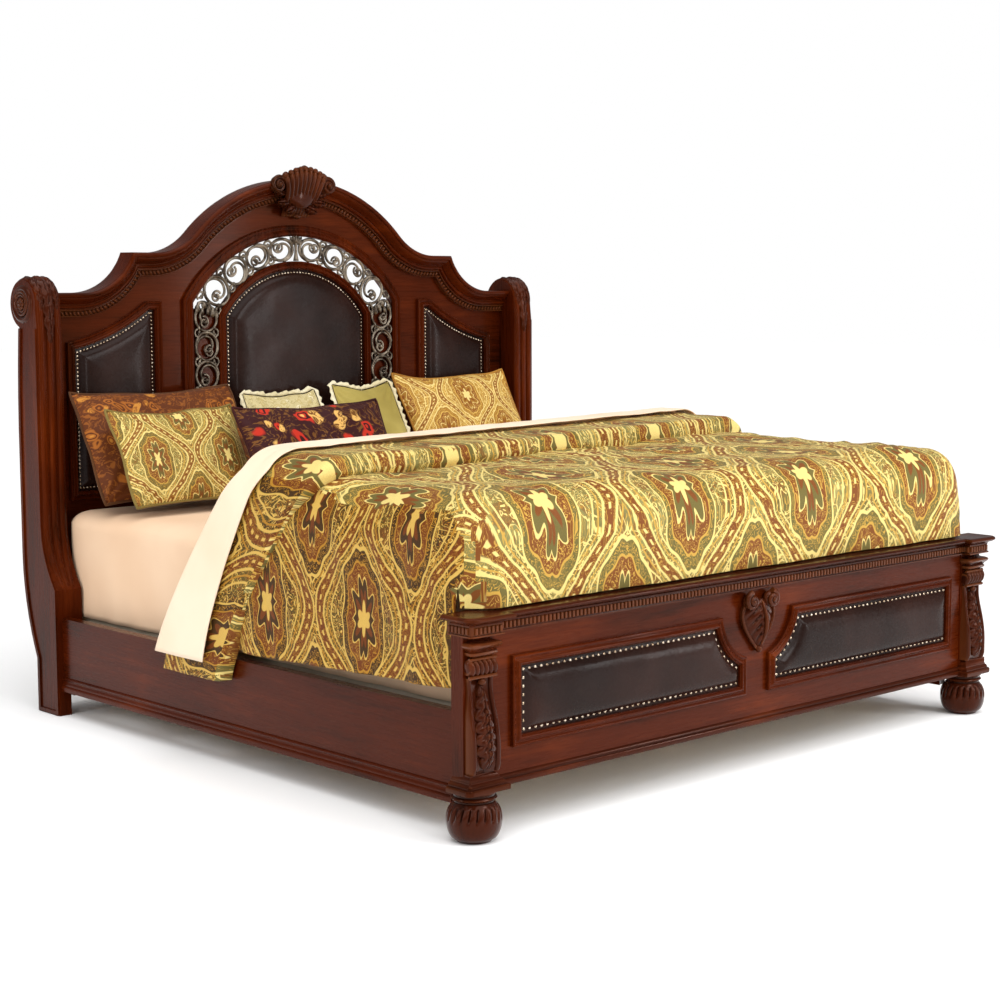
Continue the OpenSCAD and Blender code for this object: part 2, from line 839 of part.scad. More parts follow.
module side_rail(side) {
    color(wood) place() one_side(side) difference() {
        translate([rail_in, rail_front, rail_floor]) cube([rail_t, rail_rear - rail_front, rail_h]);
        foot_room();
        for (end = rail_ends) joint_at(end) {
            plate_blank(-PLATE_T);
            plate_blank(-PLATE_T + 1);
            screw_line(-SCREW_L, 0);
        }
    }
}

module rail_mouldings() {
    MOULD_T = 10;
    length = rail_rear - rail_front;
    color(dark_wood) place() both() difference() {
        translate([rail_out, rail_front, rail_floor]) {
            cube([MOULD_T, length, rail_moulding_h * 0.55]);
            cube([MOULD_T * 0.5, length, rail_moulding_h]);
        }
        foot_room();
    }
}

CLEAT_END = 40;
module rail_cleats() {
    color([0.72, 0.55, 0.36]) place() both()
        translate([rail_in - CLEAT_W, rail_front + CLEAT_END, cleat_z]) difference() {
            cube([CLEAT_W, rail_rear - rail_front - 2 * CLEAT_END, CLEAT_H]);
            for (y = slat_places)
                translate([CLEAT_W / 2, y - rail_front - CLEAT_END, CLEAT_H - SCREW_L + slat_t])
                    cylinder(h = SCREW_L, r = SCREW_R);
        }
}

module rail_hook_plates() {
    color(steel) place() both() for (end = rail_ends) joint_at(end) {
        difference() {
            plate_blank(-PLATE_T);
            screw_line(-PLATE_T - 1, 1);
        }
        for (h = hook_steps) translate([-HOOK_T / 2, -1, h]) cube([HOOK_T, HOOK_REACH + 1, HOOK_H]);
    }
}

module post_slot_plates() {
    color(steel) place() both() for (end = rail_ends) joint_at(end) difference() {
        plate_blank(0);
        screw_line(-1, PLATE_T + 1);
        hook_slots(PLATE_T + 1);
    }
}

// The screws' heads are flush with their plates and slats.
module wood_screws() {
    color(steel) place() both() {
        for (end = rail_ends) joint_at(end) {
            screw_line(-SCREW_L, -0.2);
            screw_line(0.2, SCREW_L);
        }
        for (y = slat_places) translate([rail_in - CLEAT_W / 2, y, slat_z + slat_t - SCREW_L])
            cylinder(h = SCREW_L, r = SCREW_R);
    }
}

// ---- Slats, support legs and levelling glides.
SLAT_FRONT = 290;
SLAT_REAR = 20;
slat_first = rail_front + slat_w / 2 + SLAT_FRONT;
slat_last = rail_rear - slat_w / 2 - SLAT_REAR;
slat_places = [for (i = [0 : slat_count - 1]) slat_first + (slat_last - slat_first) * i / (slat_count - 1)];
leg_places = [slat_places[0], slat_places[(slat_count - 1) / 2], slat_places[slat_count - 1]];
SLAT_CLEAR = 4;
GLIDE_H = 12;
GLIDE_R = 22;
INSERT_R = 8;
INSERT_H = 30;
STEM_L = 42;
STEM_CLEAR = 0.05;
STEM_ROOM = 8;

module bed_slats() {
    color([0.78, 0.62, 0.42]) place() for (y = slat_places) difference() {
        translate([-rail_in + SLAT_CLEAR, y - slat_w / 2, slat_z])
            cube([2 * (rail_in - SLAT_CLEAR), slat_w, slat_t]);
        both() translate([rail_in - CLEAT_W / 2, y, slat_z - 1]) cylinder(h = slat_t + 2, r = SCREW_R);
    }
}

module support_legs() {
    color([0.78, 0.62, 0.42]) place() for (y = leg_places) translate([0, y, 0]) difference() {
        translate([-leg_w / 2, -leg_w / 2, GLIDE_H]) cube([leg_w, leg_w, slat_z - GLIDE_H]);
        translate([0, 0, GLIDE_H - 1]) cylinder(h = INSERT_H + 1, r = INSERT_R);
        translate([0, 0, GLIDE_H + 1]) cylinder(h = STEM_L + STEM_ROOM, r = stem_r + 2);
    }
}

module leg_inserts() {
    color([0.75, 0.62, 0.3]) place() for (y = leg_places) translate([0, y, GLIDE_H]) difference() {
        cylinder(h = INSERT_H, r = INSERT_R);
        translate([0, 0, -1]) cylinder(h = INSERT_H + 2, r = stem_r + STEM_CLEAR);
    }
}

module levelling_glide(i) {
    color([0.25, 0.25, 0.26]) place() translate([0, leg_places[i], 0]) {
        cylinder(h = GLIDE_H - 4, r = GLIDE_R);
        cylinder(h = GLIDE_H, r = GLIDE_R - 5);
        cylinder(h = GLIDE_H + STEM_L - glide_travel / 2, r = stem_r);
    }
}

// ---- Bedding.
module soft_block(w, l, z, h, r) {
    translate([-w / 2, 0, z]) linear_extrude(height = h) {
        translate([r, 0]) square([w - 2 * r, l]);
        translate([0, r]) square([w, l - 2 * r]);
        for (x = [r, w - r]) for (y = [r, l - r]) translate([x, y]) circle(r = r);
    }
}

module foundation() {
    color([0.8, 0.78, 0.74]) place() translate([0, mattress_front, 0])
        soft_block(mattress_w, mattress_l, foundation_z, foundation_h, mattress_r);
}

SHEET_T = 3;
module mattress() {
    color([0.92, 0.9, 0.86]) place() translate([0, mattress_front + SHEET_T, 0]) soft_block(
        mattress_w - 2 * SHEET_T,
        mattress_l - 2 * SHEET_T,
        mattress_z,
        mattress_h - SHEET_T,
        mattress_r - SHEET_T
    );
}

module fitted_sheet() {
    color([0.93, 0.85, 0.76]) place() translate([0, mattress_front, 0]) difference() {
        soft_block(mattress_w, mattress_l, mattress_z, mattress_h, mattress_r);
        translate([0, SHEET_T, 0]) soft_block(
            mattress_w - 2 * SHEET_T,
            mattress_l - 2 * SHEET_T,
            mattress_z - 1,
            mattress_h + 1 - SHEET_T,
            mattress_r - SHEET_T
        );
    }
}

// A cover seen from the foot, filled in: half width, height of its top, radius of
// its shoulders and height of its hem.
module cover_shape(half, top, r, hem) {
    right = concat([[half, hem]], arc(half - r, top - r, r, 0, 90));
    polygon(concat(right, flip(right)));
}

COVER_CLEAR = 2;
COVER_R = 130;
COVER_T = 34;
COVER_PUFF = 220;
flap_y = mattress_back - 748;
crease_y = flap_y - 800;
FLAP_T = 22;
FLAP_PUFF = 48;
TUCK_DEPTH = 165;
cover_in = rail_out + 6;
cover_out = cover_in + COVER_T;
cover_top = mattress_top + COVER_PUFF;
cover_hem = rail_top + 30;
fold_top = cover_top + FLAP_PUFF;
fold_out = cover_out + FLAP_T;
flap_hem = rail_top - 62;
tuck_front = cap_back + COVER_CLEAR;
tuck_back = mattress_front - COVER_CLEAR;
cover_front = max(cap_rear, tuck_back) + 6;
NOSE_AHEAD = 20;
tuck_top = foot_top_z + 10;
tuck_half = corner_in - CAP_OVER - COVER_CLEAR;

// Room for the mattress and the rails.
module bed_room(hem) {
    translate([-cover_in, hem - 1]) square([2 * cover_in, mattress_top + COVER_CLEAR - hem + 1]);
}

module comforter() {
    color([0.66, 0.58, 0.36]) place() {
        upright(cover_front, crease_y + 1) difference() {
            cover_shape(cover_out, cover_top, COVER_R, cover_hem);
            bed_room(cover_hem);
        }
        upright(crease_y, flap_y) difference() {
            cover_shape(fold_out, fold_top, COVER_R, flap_hem);
            bed_room(flap_hem);
        }
        upright(tuck_back, cover_front + 1) difference() {
            cover_shape(cover_out - 12, cover_top - 30, COVER_R, tuck_top);
            bed_room(tuck_top);
        }
        upright(-NOSE_AHEAD, tuck_back + 1) cover_shape(cover_out - 12, cover_top - 30, COVER_R, tuck_top);
        translate([-tuck_half, tuck_front, tuck_top + 1 - TUCK_DEPTH])
            cube([2 * tuck_half, tuck_back - tuck_front, TUCK_DEPTH]);
    }
}

BAND_T = 5;
band_y = flap_y - 690;
band_hem = flap_hem + 50;
module top_sheet() {
    grow = COVER_CLEAR + BAND_T;
    color([0.95, 0.9, 0.84]) place() upright(band_y, flap_y + 20) difference() {
        cover_shape(fold_out + grow, fold_top + grow, COVER_R + grow, band_hem);
        cover_shape(fold_out + COVER_CLEAR, fold_top + COVER_CLEAR, COVER_R + COVER_CLEAR, band_hem - 1);
    }
}

// A pillow that leans back on its lower edge: middle of that edge, lean from
// upright, width, height and thickness.
PILLOW_EDGE = 0.6;
module pillow(x, y, lean, w, h, t) {
    edge = t * PILLOW_EDGE;
    place() translate([x, y, mattress_top + COVER_CLEAR + edge / 2 * sin(lean)]) rotate([-lean, 0, 0]) {
        translate([-w / 2, -edge / 2, 0]) cube([w, edge, h]);
        translate([-w * 0.4, -t / 2, h * 0.1]) cube([w * 0.8, t, h * 0.8]);
    }
}

// The rows stand one in front of the other, each clear of the next.
LEAN = 30;
back_row = mattress_back - 266;
front_row = back_row - 137;
first_row = front_row - 131;

module pillow_left_back() {
    color([0.5, 0.3, 0.12]) pillow(-650, back_row, LEAN, 636, 420, 120);
}

module pillow_left_front() {
    color([0.62, 0.58, 0.35]) pillow(-690, front_row, LEAN, 490, 360, 110);
}

module pillow_cream() {
    color([0.8, 0.78, 0.6]) pillow(-145, back_row + 10, LEAN, 350, 400, 90);
}

module pillow_floral() {
    color([0.28, 0.1, 0.08]) pillow(-250, first_row, LEAN, 620, 360, 110);
}

module pillow_olive() {
    color([0.6, 0.58, 0.3]) pillow(200, back_row - 20, LEAN, 300, 420, 80);
}

module pillow_right_gold() {
    color([0.7, 0.55, 0.25]) pillow(640, back_row, LEAN, 570, 430, 120);
}

headboard_board();
headboard_lower_rail();
headboard_post(-1);  // headboard_post_left
headboard_post(1);  // headboard_post_right
post_reeding();
post_side_mouldings();
post_acanthus();
scroll_rosettes();
crown_moulding();
crown_rope_band();
crest_shell();
arch_outer_frame();
arch_fretwork();
arch_inner_frame();
side_frame(-1);  // side_frame_left
side_frame(1);  // side_frame_right
leather_centre_panel();
side_pad(-1);  // leather_left_panel
side_pad(1);  // leather_right_panel
nailheads();
footboard_panel();
footboard_cap();
footboard_dentil_band();
footboard_base_moulding();
foot_frame(-1);  // footboard_frame_left
foot_frame(1);  // footboard_frame_right
foot_pad(-1);  // footboard_leather_left
foot_pad(1);  // footboard_leather_right
footboard_cartouche();
footboard_post(-1);  // footboard_post_left
footboard_post(1);  // footboard_post_right
post_capitals();
corbels();
bun_foot(-1);  // bun_foot_left
bun_foot(1);  // bun_foot_right
side_rail(-1);  // side_rail_left
side_rail(1);  // side_rail_right
rail_mouldings();
rail_cleats();
rail_hook_plates();
post_slot_plates();
wood_screws();
bed_slats();
support_legs();
leg_inserts();
levelling_glide(0);  // glide_front
levelling_glide(1);  // glide_middle
levelling_glide(2);  // glide_rear
foundation();
mattress();
fitted_sheet();
top_sheet();
comforter();
pillow_left_back();
pillow_left_front();
pillow_cream();
pillow_floral();
pillow_olive();
pillow_right_gold();
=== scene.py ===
import math

import bmesh
import bpy
import numpy as np
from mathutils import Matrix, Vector, noise
from mathutils.geometry import delaunay_2d_cdt


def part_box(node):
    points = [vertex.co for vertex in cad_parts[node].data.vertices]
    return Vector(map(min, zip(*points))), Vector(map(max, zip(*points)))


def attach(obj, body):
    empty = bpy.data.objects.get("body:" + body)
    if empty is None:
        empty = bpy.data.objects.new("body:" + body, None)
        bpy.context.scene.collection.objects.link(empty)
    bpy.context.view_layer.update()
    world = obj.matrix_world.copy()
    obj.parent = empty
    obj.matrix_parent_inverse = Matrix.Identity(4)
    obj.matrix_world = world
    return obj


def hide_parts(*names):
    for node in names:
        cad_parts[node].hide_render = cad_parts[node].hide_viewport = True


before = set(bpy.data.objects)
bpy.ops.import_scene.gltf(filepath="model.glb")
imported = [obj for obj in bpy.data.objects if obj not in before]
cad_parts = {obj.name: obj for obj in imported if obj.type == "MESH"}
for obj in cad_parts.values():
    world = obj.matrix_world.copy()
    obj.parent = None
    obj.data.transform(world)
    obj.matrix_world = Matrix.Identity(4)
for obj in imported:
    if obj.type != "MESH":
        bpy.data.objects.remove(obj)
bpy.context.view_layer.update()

BED = "bed"
FOOT_LOW, FOOT_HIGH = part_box("bun_foot_left")
FOOT_Y = (FOOT_LOW.y + FOOT_HIGH.y) / 2
FOOT_X = abs(FOOT_LOW.x + FOOT_HIGH.x) / 2
TAU = 2 * math.pi


# ---------------------------------------------------------------- mesh tools
class Build:
    """Collects rings and grids of vertices, and becomes one mesh object."""

    def __init__(self):
        self.verts, self.faces, self.count = [], [], 0

    def add(self, verts, faces):
        verts = np.asarray(verts, float).reshape(-1, 3)
        self.faces += [tuple(i + self.count for i in face) for face in faces]
        self.verts.append(verts)
        self.count += len(verts)

    def loft(self, rings, closed=False, cap=True):
        """Joins rings of equal length into a skin, with flat ends."""
        rings = np.asarray(rings, float)
        n, m = rings.shape[:2]
        faces = []
        for i in range(n if closed else n - 1):
            a, b = i * m, ((i + 1) % n) * m
            faces += [(a + j, a + (j + 1) % m, b + (j + 1) % m, b + j) for j in range(m)]
        if cap and not closed:
            faces += [tuple(range(m))[::-1], tuple(range((n - 1) * m, n * m))]
        self.add(rings, faces)

    def copies(self, verts, faces, frames):
        """Places a small mesh at each frame, a 3 by 4 matrix."""
        for frame_ in frames:
            self.add(verts @ frame_[:, :3].T + frame_[:, 3], faces)

    def done(self, name, material, slot, replaces=(), angle=40, body=BED):
        mesh = bpy.data.meshes.new(name)
        mesh.from_pydata(np.concatenate(self.verts).tolist(), [], self.faces)
        tool = bmesh.new()
        tool.from_mesh(mesh)
        bmesh.ops.recalc_face_normals(tool, faces=tool.faces)
        tool.to_mesh(mesh)
        tool.free()
        return finish_piece(name, mesh, material, replaces, angle, body)


def finish_piece(name, mesh, material, replaces=(), angle=40, body=BED):
    """Links a mesh as a named piece with its materials, body and the nodes it stands for."""
    mesh.shade_smooth()
    if angle:
        mesh.set_sharp_from_angle(angle=math.radians(angle))
    piece = bpy.data.objects.new(name, mesh)
    bpy.context.collection.objects.link(piece)
    for m in material if isinstance(material, (list, tuple)) else [material]:
        mesh.materials.append(m)
    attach(piece, body)
    if replaces:
        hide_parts(*replaces)
    return piece


def arc(cx, cy, r, a0, a1, step=3.0):
    """Points of an arc, its angles in degrees."""
    n = max(2, math.ceil(abs(a1 - a0) / step))
    a = np.radians(np.linspace(a0, a1, n + 1))
    return [(cx + r * math.cos(t), cy + r * math.sin(t)) for t in a]


def flip(points):
    """The line mirrored across x = 0, and run the other way."""
    return [(-x, z) for x, z in points[::-1]]


def tidy(points, gap=1e-4):
    """Drops points that lie on the one before."""
    out = [points[0]]
    for p in points[1:]:
        if math.dist(p, out[-1]) > gap:
            out.append(p)
    return out


def resample(points, step, closed=False):
    """Even points along a line, with its corners kept."""
    points = [np.array(p, float) for p in points]
    if closed:
        points.append(points[0])
    out = []
    for a, b in zip(points, points[1:]):
        n = max(1, round(np.linalg.norm(b - a) / step))
        out += [a + (b - a) * i / n for i in range(n)]
    if not closed:
        out.append(points[-1])
    return np.array(out)


def even(points, pitch, closed=False):
    """Points at one even pitch along a smooth line, and the line's direction at each."""
    points = np.array(points, float)
    if closed:
        points = np.vstack([points, points[:1]])
    seg = np.linalg.norm(np.diff(points, axis=0), axis=1)
    run = np.concatenate([[0], np.cumsum(seg)])
    n = max(2, round(run[-1] / pitch))
    at = np.linspace(0, run[-1], n, endpoint=not closed) if closed else np.linspace(0, run[-1], n + 1)
    out = np.stack([np.interp(at, run, points[:, k]) for k in range(points.shape[1])], 1)
    k = np.clip(np.searchsorted(run, at, side="right") - 1, 0, len(seg) - 1)
    return out, (points[k + 1] - points[k]) / np.maximum(seg[k], 1e-9)[:, None]


def miters(path, closed):
    """The left-hand offset direction at each point of a flat line, lengthened at corners."""
    p = np.array(path, float)
    if closed:
        ahead, behind = np.roll(p, -1, 0) - p, p - np.roll(p, 1, 0)
    else:
        d = np.diff(p, axis=0)
        ahead, behind = np.vstack([d, d[-1:]]), np.vstack([d[:1], d])
    ahead /= np.linalg.norm(ahead, axis=1)[:, None]
    behind /= np.linalg.norm(behind, axis=1)[:, None]
    na = np.stack([-ahead[:, 1], ahead[:, 0]], 1)
    nb = np.stack([-behind[:, 1], behind[:, 0]], 1)
    m = na + nb
    m /= np.linalg.norm(m, axis=1)[:, None]
    return m / np.maximum((m * na).sum(1), 0.3)[:, None]


def sweep(build, path, profile, plane="front", closed=False):
    """Runs a closed profile of (inset, height) along a flat line. In the front plane the
    line is (x, z) and the height is y; in plan it is (x, y) and the height is z; on a side
    it is (y, z) and the height is x."""
    p, m = np.array(path, float), miters(path, closed)
    rings = []
    for at, out in zip(p, m):
        flat = [at + out * d for d, _ in profile]
        if plane == "front":
            rings.append([(q[0], h, q[1]) for q, (_, h) in zip(flat, profile)])
        elif plane == "plan":
            rings.append([(q[0], q[1], h) for q, (_, h) in zip(flat, profile)])
        else:
            rings.append([(h, q[0], q[1]) for q, (_, h) in zip(flat, profile)])
    build.loft(rings, closed=closed)


def tube(build, points, radius, sides=10, flat=1.0, normal=(0, -1, 0)):
    """A round or flattened rod along a line in space, closed at both ends."""
    p = np.array(points, float)
    radius = np.broadcast_to(np.asarray(radius, float), (len(p),))
    t = np.gradient(p, axis=0)
    t /= np.linalg.norm(t, axis=1)[:, None]
    up = np.broadcast_to(np.array(normal, float), p.shape)
    up = up - (up * t).sum(1)[:, None] * t
    up /= np.linalg.norm(up, axis=1)[:, None]
    side = np.cross(t, up)
    a = np.arange(sides) * TAU / sides
    rings = p[:, None] + radius[:, None, None] * (
        np.cos(a)[None, :, None] * side[:, None] + flat * np.sin(a)[None, :, None] * up[:, None]
    )
    build.loft(rings)


def spiral(cx, cz, r0, r1, turns, start, y, hand=1, lift=0.0, n=None):
    """Points of a flat spiral facing -Y, from radius r0 in to r1."""
    n = n or max(12, int(abs(turns) * 22))
    t = np.linspace(0, 1, n)
    a = np.radians(start) + hand * turns * TAU * t
    r = r0 + (r1 - r0) * t ** 0.8
    return np.stack([cx + r * np.cos(a), np.full(n, y) - lift * t, cz + r * np.sin(a)], 1)


def blob(rings=6, sides=10):
    """A unit ball, as vertices and faces."""
    verts, faces = [(0, 0, 1)], []
    for i in range(1, rings):
        th = math.pi * i / rings
        ring = [TAU * j / sides for j in range(sides)]
        verts += [(math.sin(th) * math.cos(a), math.sin(th) * math.sin(a), math.cos(th)) for a in ring]
    verts.append((0, 0, -1))
    last = len(verts) - 1
    for j in range(sides):
        k = (j + 1) % sides
        faces.append((0, 1 + j, 1 + k))
        faces.append((last, 1 + (rings - 2) * sides + k, 1 + (rings - 2) * sides + j))
        for i in range(rings - 2):
            a, b = 1 + i * sides, 1 + (i + 1) * sides
            faces.append((a + j, b + j, b + k, a + k))
    return np.array(verts, float), faces


def ball(build, centre, radii, rings=8, sides=14):
    verts, faces = blob(rings, sides)
    build.add(verts * np.array(radii) + np.array(centre), faces)


def facing(centre, along, out, sizes):
    """A frame whose X runs along a line, Z stands out and Y lies across."""
    x = np.array(along, float) / np.linalg.norm(along)
    z = np.array(out, float)
    z = z - (z @ x) * x
    z /= np.linalg.norm(z)
    y = np.cross(z, x)
    return np.column_stack([x * sizes[0], y * sizes[1], z * sizes[2], np.array(centre, float)])


def leaf(build, points, out, half, rise, lobes, n=None, across=17, thick=0.004, pinch=0.3, vein=0.35):
    """A carved acanthus leaf along a line in space: half widths, how far it stands out,
    and how many lobes its edges have. It is closed on the back."""
    n = n or lobes * 8 + 1
    base, _ = even(points,
        1e-9 + np.linalg.norm(np.diff(np.array(points, float), axis=0), axis=1).sum() / (n - 1))
    n = len(base)
    t = np.gradient(base, axis=0)
    t /= np.linalg.norm(t, axis=1)[:, None]
    if callable(out):
        normal = np.array([out(q) for q in base])
    else:
        normal = np.broadcast_to(np.array(out, float), base.shape)
    normal = normal - (normal * t).sum(1)[:, None] * t
    normal /= np.linalg.norm(normal, axis=1)[:, None]
    s = np.cross(t, normal)
    u = np.linspace(0, 1, n)
    width = np.interp(u, np.linspace(0, 1, len(half)), half)
    scallop = np.abs(np.sin(lobes * math.pi * u)) ** 0.6
    width = width * (1 - pinch + pinch * scallop)
    v = np.linspace(-1, 1, across)
    uu, vv = np.meshgrid(u, v, indexing="ij")
    flute = np.abs(np.sin(lobes * math.pi * (uu + 0.13 * np.abs(vv)))) ** 0.7
    body = (1 - np.abs(vv) ** 2.4) * (1 - vein + vein * flute)
    groove = 1 - 0.35 * np.exp(-(vv / 0.1) ** 2)
    ends = np.minimum(1, np.minimum(uu, 1 - uu) * 9 + 0.12)
    height = rise * body * groove * ends
    top = (base[:, None] + s[:, None] * (vv * width[:, None])[..., None]
        + normal[:, None] * height[..., None])
    under = base[:, None] + s[:, None] * (vv * width[:, None] * 0.98)[..., None] - normal[:, None] * thick
    build.loft(np.concatenate([top, under[:, ::-1]], axis=1))


# ---------------------------------------------------------------- shader tools
class Value:
    """A shader value that plain arithmetic can be done on."""

    def __init__(self, graph, socket):
        self.graph, self.socket = graph, socket

    def __add__(self, other):
        return self.graph.math("ADD", self, other)

    __radd__ = __add__

    def __sub__(self, other):
        return self.graph.math("SUBTRACT", self, other)

    def __rsub__(self, other):
        return self.graph.math("SUBTRACT", other, self)

    def __mul__(self, other):
        return self.graph.math("MULTIPLY", self, other)

    __rmul__ = __mul__

    def __truediv__(self, other):
        return self.graph.math("DIVIDE", self, other)


class Graph:
    """One material's nodes, with short ways to make the usual ones."""

    def __init__(self, name):
        self.material = bpy.data.materials.new(name)
        self.material.use_nodes = True
        self.tree = self.material.node_tree
        self.shader = self.tree.nodes["Principled BSDF"]

    def node(self, kind, **settings):
        made = self.tree.nodes.new(kind)
        for key, value in settings.items():
            setattr(made, key, value)
        return made

    def put(self, socket, value):
        if isinstance(value, Value):
            self.tree.links.new(value.socket, socket)
        else:
            socket.default_value = value

    def math(self, operation, *values, clamp=False):
        made = self.node("ShaderNodeMath", operation=operation, use_clamp=clamp)
        for socket, value in zip(made.inputs, values):
            self.put(socket, value)
        return Value(self, made.outputs[0])

    def object_point(self):
        return Value(self, self.node("ShaderNodeTexCoord").outputs["Object"])

    def cloth_point(self):
        return Value(self, self.node("ShaderNodeUVMap", uv_map="cloth").outputs["UV"])

    def scaled(self, point, scale, turn=(0, 0, 0)):
        made = self.node("ShaderNodeMapping")
        self.put(made.inputs["Vector"], point)
        made.inputs["Scale"].default_value = scale
        made.inputs["Rotation"].default_value = turn
        return Value(self, made.outputs[0])

    def parts(self, point):
        made = self.node("ShaderNodeSeparateXYZ")
        self.put(made.inputs[0], point)
        return [Value(self, socket) for socket in made.outputs]

    def joined(self, x, y, z=0.0):
        made = self.node("ShaderNodeCombineXYZ")
        for socket, value in zip(made.inputs, (x, y, z)):
            self.put(socket, value)
        return Value(self, made.outputs[0])

    def noise(self, point, scale, detail=3.0, rough=0.5, bend=0.0, colour=False):
        made = self.node("ShaderNodeTexNoise")
        self.put(made.inputs["Vector"], point)
        made.inputs["Scale"].default_value = scale
        made.inputs["Detail"].default_value = detail
        made.inputs["Roughness"].default_value = rough
        made.inputs["Distortion"].default_value = bend
        return Value(self, made.outputs["Color" if colour else "Fac"])

    def cells(self, point, scale, feature="F1", output="Distance", chance=1.0):
        made = self.node("ShaderNodeTexVoronoi", feature=feature)
        self.put(made.inputs["Vector"], point)
        made.inputs["Scale"].default_value = scale
        made.inputs["Randomness"].default_value = chance
        return Value(self, made.outputs[output])

    def step(self, value, low, high):
        """0 below low, 1 above high, smooth between; low may be above high."""
        made = self.node("ShaderNodeMapRange", interpolation_type="SMOOTHSTEP")
        self.put(made.inputs["Value"], value)
        made.inputs["From Min"].default_value = min(low, high)
        made.inputs["From Max"].default_value = max(low, high)
        made.inputs["To Min"].default_value = 0.0 if low < high else 1.0
        made.inputs["To Max"].default_value = 1.0 if low < high else 0.0
        return Value(self, made.outputs["Result"])

    def mix(self, factor, a, b):
        made = self.node("ShaderNodeMix", data_type="RGBA")
        self.put(made.inputs[0], factor)
        for socket, value in ((made.inputs[6], a), (made.inputs[7], b)):
            self.put(socket, value if isinstance(value, Value) else (*linear(value), 1.0))
        return Value(self, made.outputs[2])

    def near(self, value, at, width, soft=0.5):
        """1 where value lies within width of at."""
        return self.step(self.math("ABSOLUTE", value - at), width, width * (1 - soft))

    def bump(self, height, strength, distance=0.002):
        made = self.node("ShaderNodeBump")
        made.inputs["Strength"].default_value = strength
        made.inputs["Distance"].default_value = distance
        self.put(made.inputs["Height"], height)
        self.tree.links.new(made.outputs[0], self.shader.inputs["Normal"])

    def set(self, **values):
        for key, value in values.items():
            socket = self.shader.inputs[key.replace("_", " ")]
            if key == "Base_Color" and not isinstance(value, Value):
                value = (*linear(value), 1.0)
            self.put(socket, value)
        return self.material


def linear(colour):
    """From the 0 to 255 of a screen to linear light."""
    out = []
    for c in colour[:3]:
        c = c / 255
        out.append(c / 12.92 if c <= 0.04045 else ((c + 0.055) / 1.055) ** 2.4)
    return tuple(out)


POLISH_TINT = (206, 112, 52)
GRAIN = {"x": (1.2, 14, 14), "y": (14, 1.2, 14), "z": (14, 14, 1.2)}


def wood_material(name, dark, mid, light, run="z", gloss=0.24, glaze_and_highlight=0.0, coat=0.04):
    """Lacquered cherry: long grain, slow colour change, dark glaze in recesses, painted highlight on
    ridges.
    """
    g = Graph(name)
    point = g.object_point()
    slow = g.noise(g.scaled(point, GRAIN[run]), 1.0, 4, 0.55, 0.6)
    fine = g.noise(g.scaled(point, tuple(k * 5 for k in GRAIN[run])), 1.6, 5, 0.6, 0.2)
    cloud = g.noise(point, 3.0, 2)
    tone = g.math("ADD", slow * 0.7 + fine * 0.3, (cloud - 0.5) * 0.5)
    colour = g.mix(g.step(tone, 0.25, 0.5), dark, mid)
    colour = g.mix(g.step(tone, 0.5, 0.85), colour, light)
    if glaze_and_highlight:
        edge = Value(g, g.node("ShaderNodeNewGeometry").outputs["Pointiness"])
        colour = g.mix(g.step(edge, 0.5, 0.44) * glaze_and_highlight, colour, (20, 9, 6))
        # painted highlight: a lighter colour on the ridges, where light catches the carving
        colour = g.mix(g.step(edge, 0.53, 0.62) * glaze_and_highlight * 0.55, colour, (112, 60, 28))
    g.bump(fine, 0.06, 0.001)
    rough = g.step(fine, 0.2, 0.9) * 0.1 + gloss
    return g.set(Base_Color=colour, Roughness=rough, Coat_Weight=coat, Coat_Roughness=0.10,
                 Specular_IOR_Level=0.20, Specular_Tint=(*linear(POLISH_TINT), 1.0))


def metal_material(name, colour, shade, rough=0.3, scale=60):
    g = Graph(name)
    spots = g.noise(g.object_point(), scale, 3)
    edge = Value(g, g.node("ShaderNodeNewGeometry").outputs["Pointiness"])
    tone = g.mix(g.step(spots, 0.35, 0.7), shade, colour)
    tone = g.mix(g.step(edge, 0.49, 0.42), tone, tuple(c * 0.4 for c in shade))
    return g.set(Base_Color=tone, Metallic=1.0, Roughness=g.step(spots, 0.3, 0.8) * 0.15 + rough)


def leather_material(name):
    g = Graph(name)
    point = g.object_point()
    pores = g.cells(point, 420, "F1")
    creases = g.noise(point, 55, 4, 0.6)
    cloud = g.noise(point, 4, 3)
    tone = g.mix(g.step(cloud, 0.3, 0.75), (26, 13, 9), (46, 26, 20))
    g.bump(pores * 0.5 + creases * 0.5, 0.22, 0.0012)
    rough = g.step(creases, 0.3, 0.8) * 0.10 + 0.24
    return g.set(Base_Color=tone, Roughness=rough, Coat_Weight=0.05, Coat_Roughness=0.15,
        Specular_IOR_Level=0.10)


CHERRY = dict(dark=(34, 9, 2), mid=(66, 20, 3), light=(104, 40, 8))
DARK_CHERRY = dict(dark=(28, 9, 4), mid=(54, 19, 7), light=(92, 38, 14))
WOOD_X = wood_material("cherry_along_x", run="x", **CHERRY)
WOOD_Y = wood_material("cherry_along_y", run="y", **CHERRY)
WOOD_Z = wood_material("cherry_along_z", run="z", **CHERRY)
# carved and trim cherry: dark glaze in their recesses and a painted highlight on their ridges
CARVED = wood_material("carved_cherry", run="z", glaze_and_highlight=0.85, gloss=0.14, coat=0.16, **DARK_CHERRY)
TRIM = wood_material("trim_cherry", run="x", glaze_and_highlight=0.35, gloss=0.16, **DARK_CHERRY)
LEATHER = leather_material("brown_leather")
NAIL = metal_material("antique_nail", (225, 208, 186), (150, 128, 104), 0.2)
PEWTER = metal_material("antique_pewter", (150, 138, 122), (66, 56, 48), 0.30, 30)


# ---------------------------------------------------------------- headboard
def at_y(station):
    """A station along the bed, measured from the bun feet, in the row's frame."""
    return FOOT_Y + station


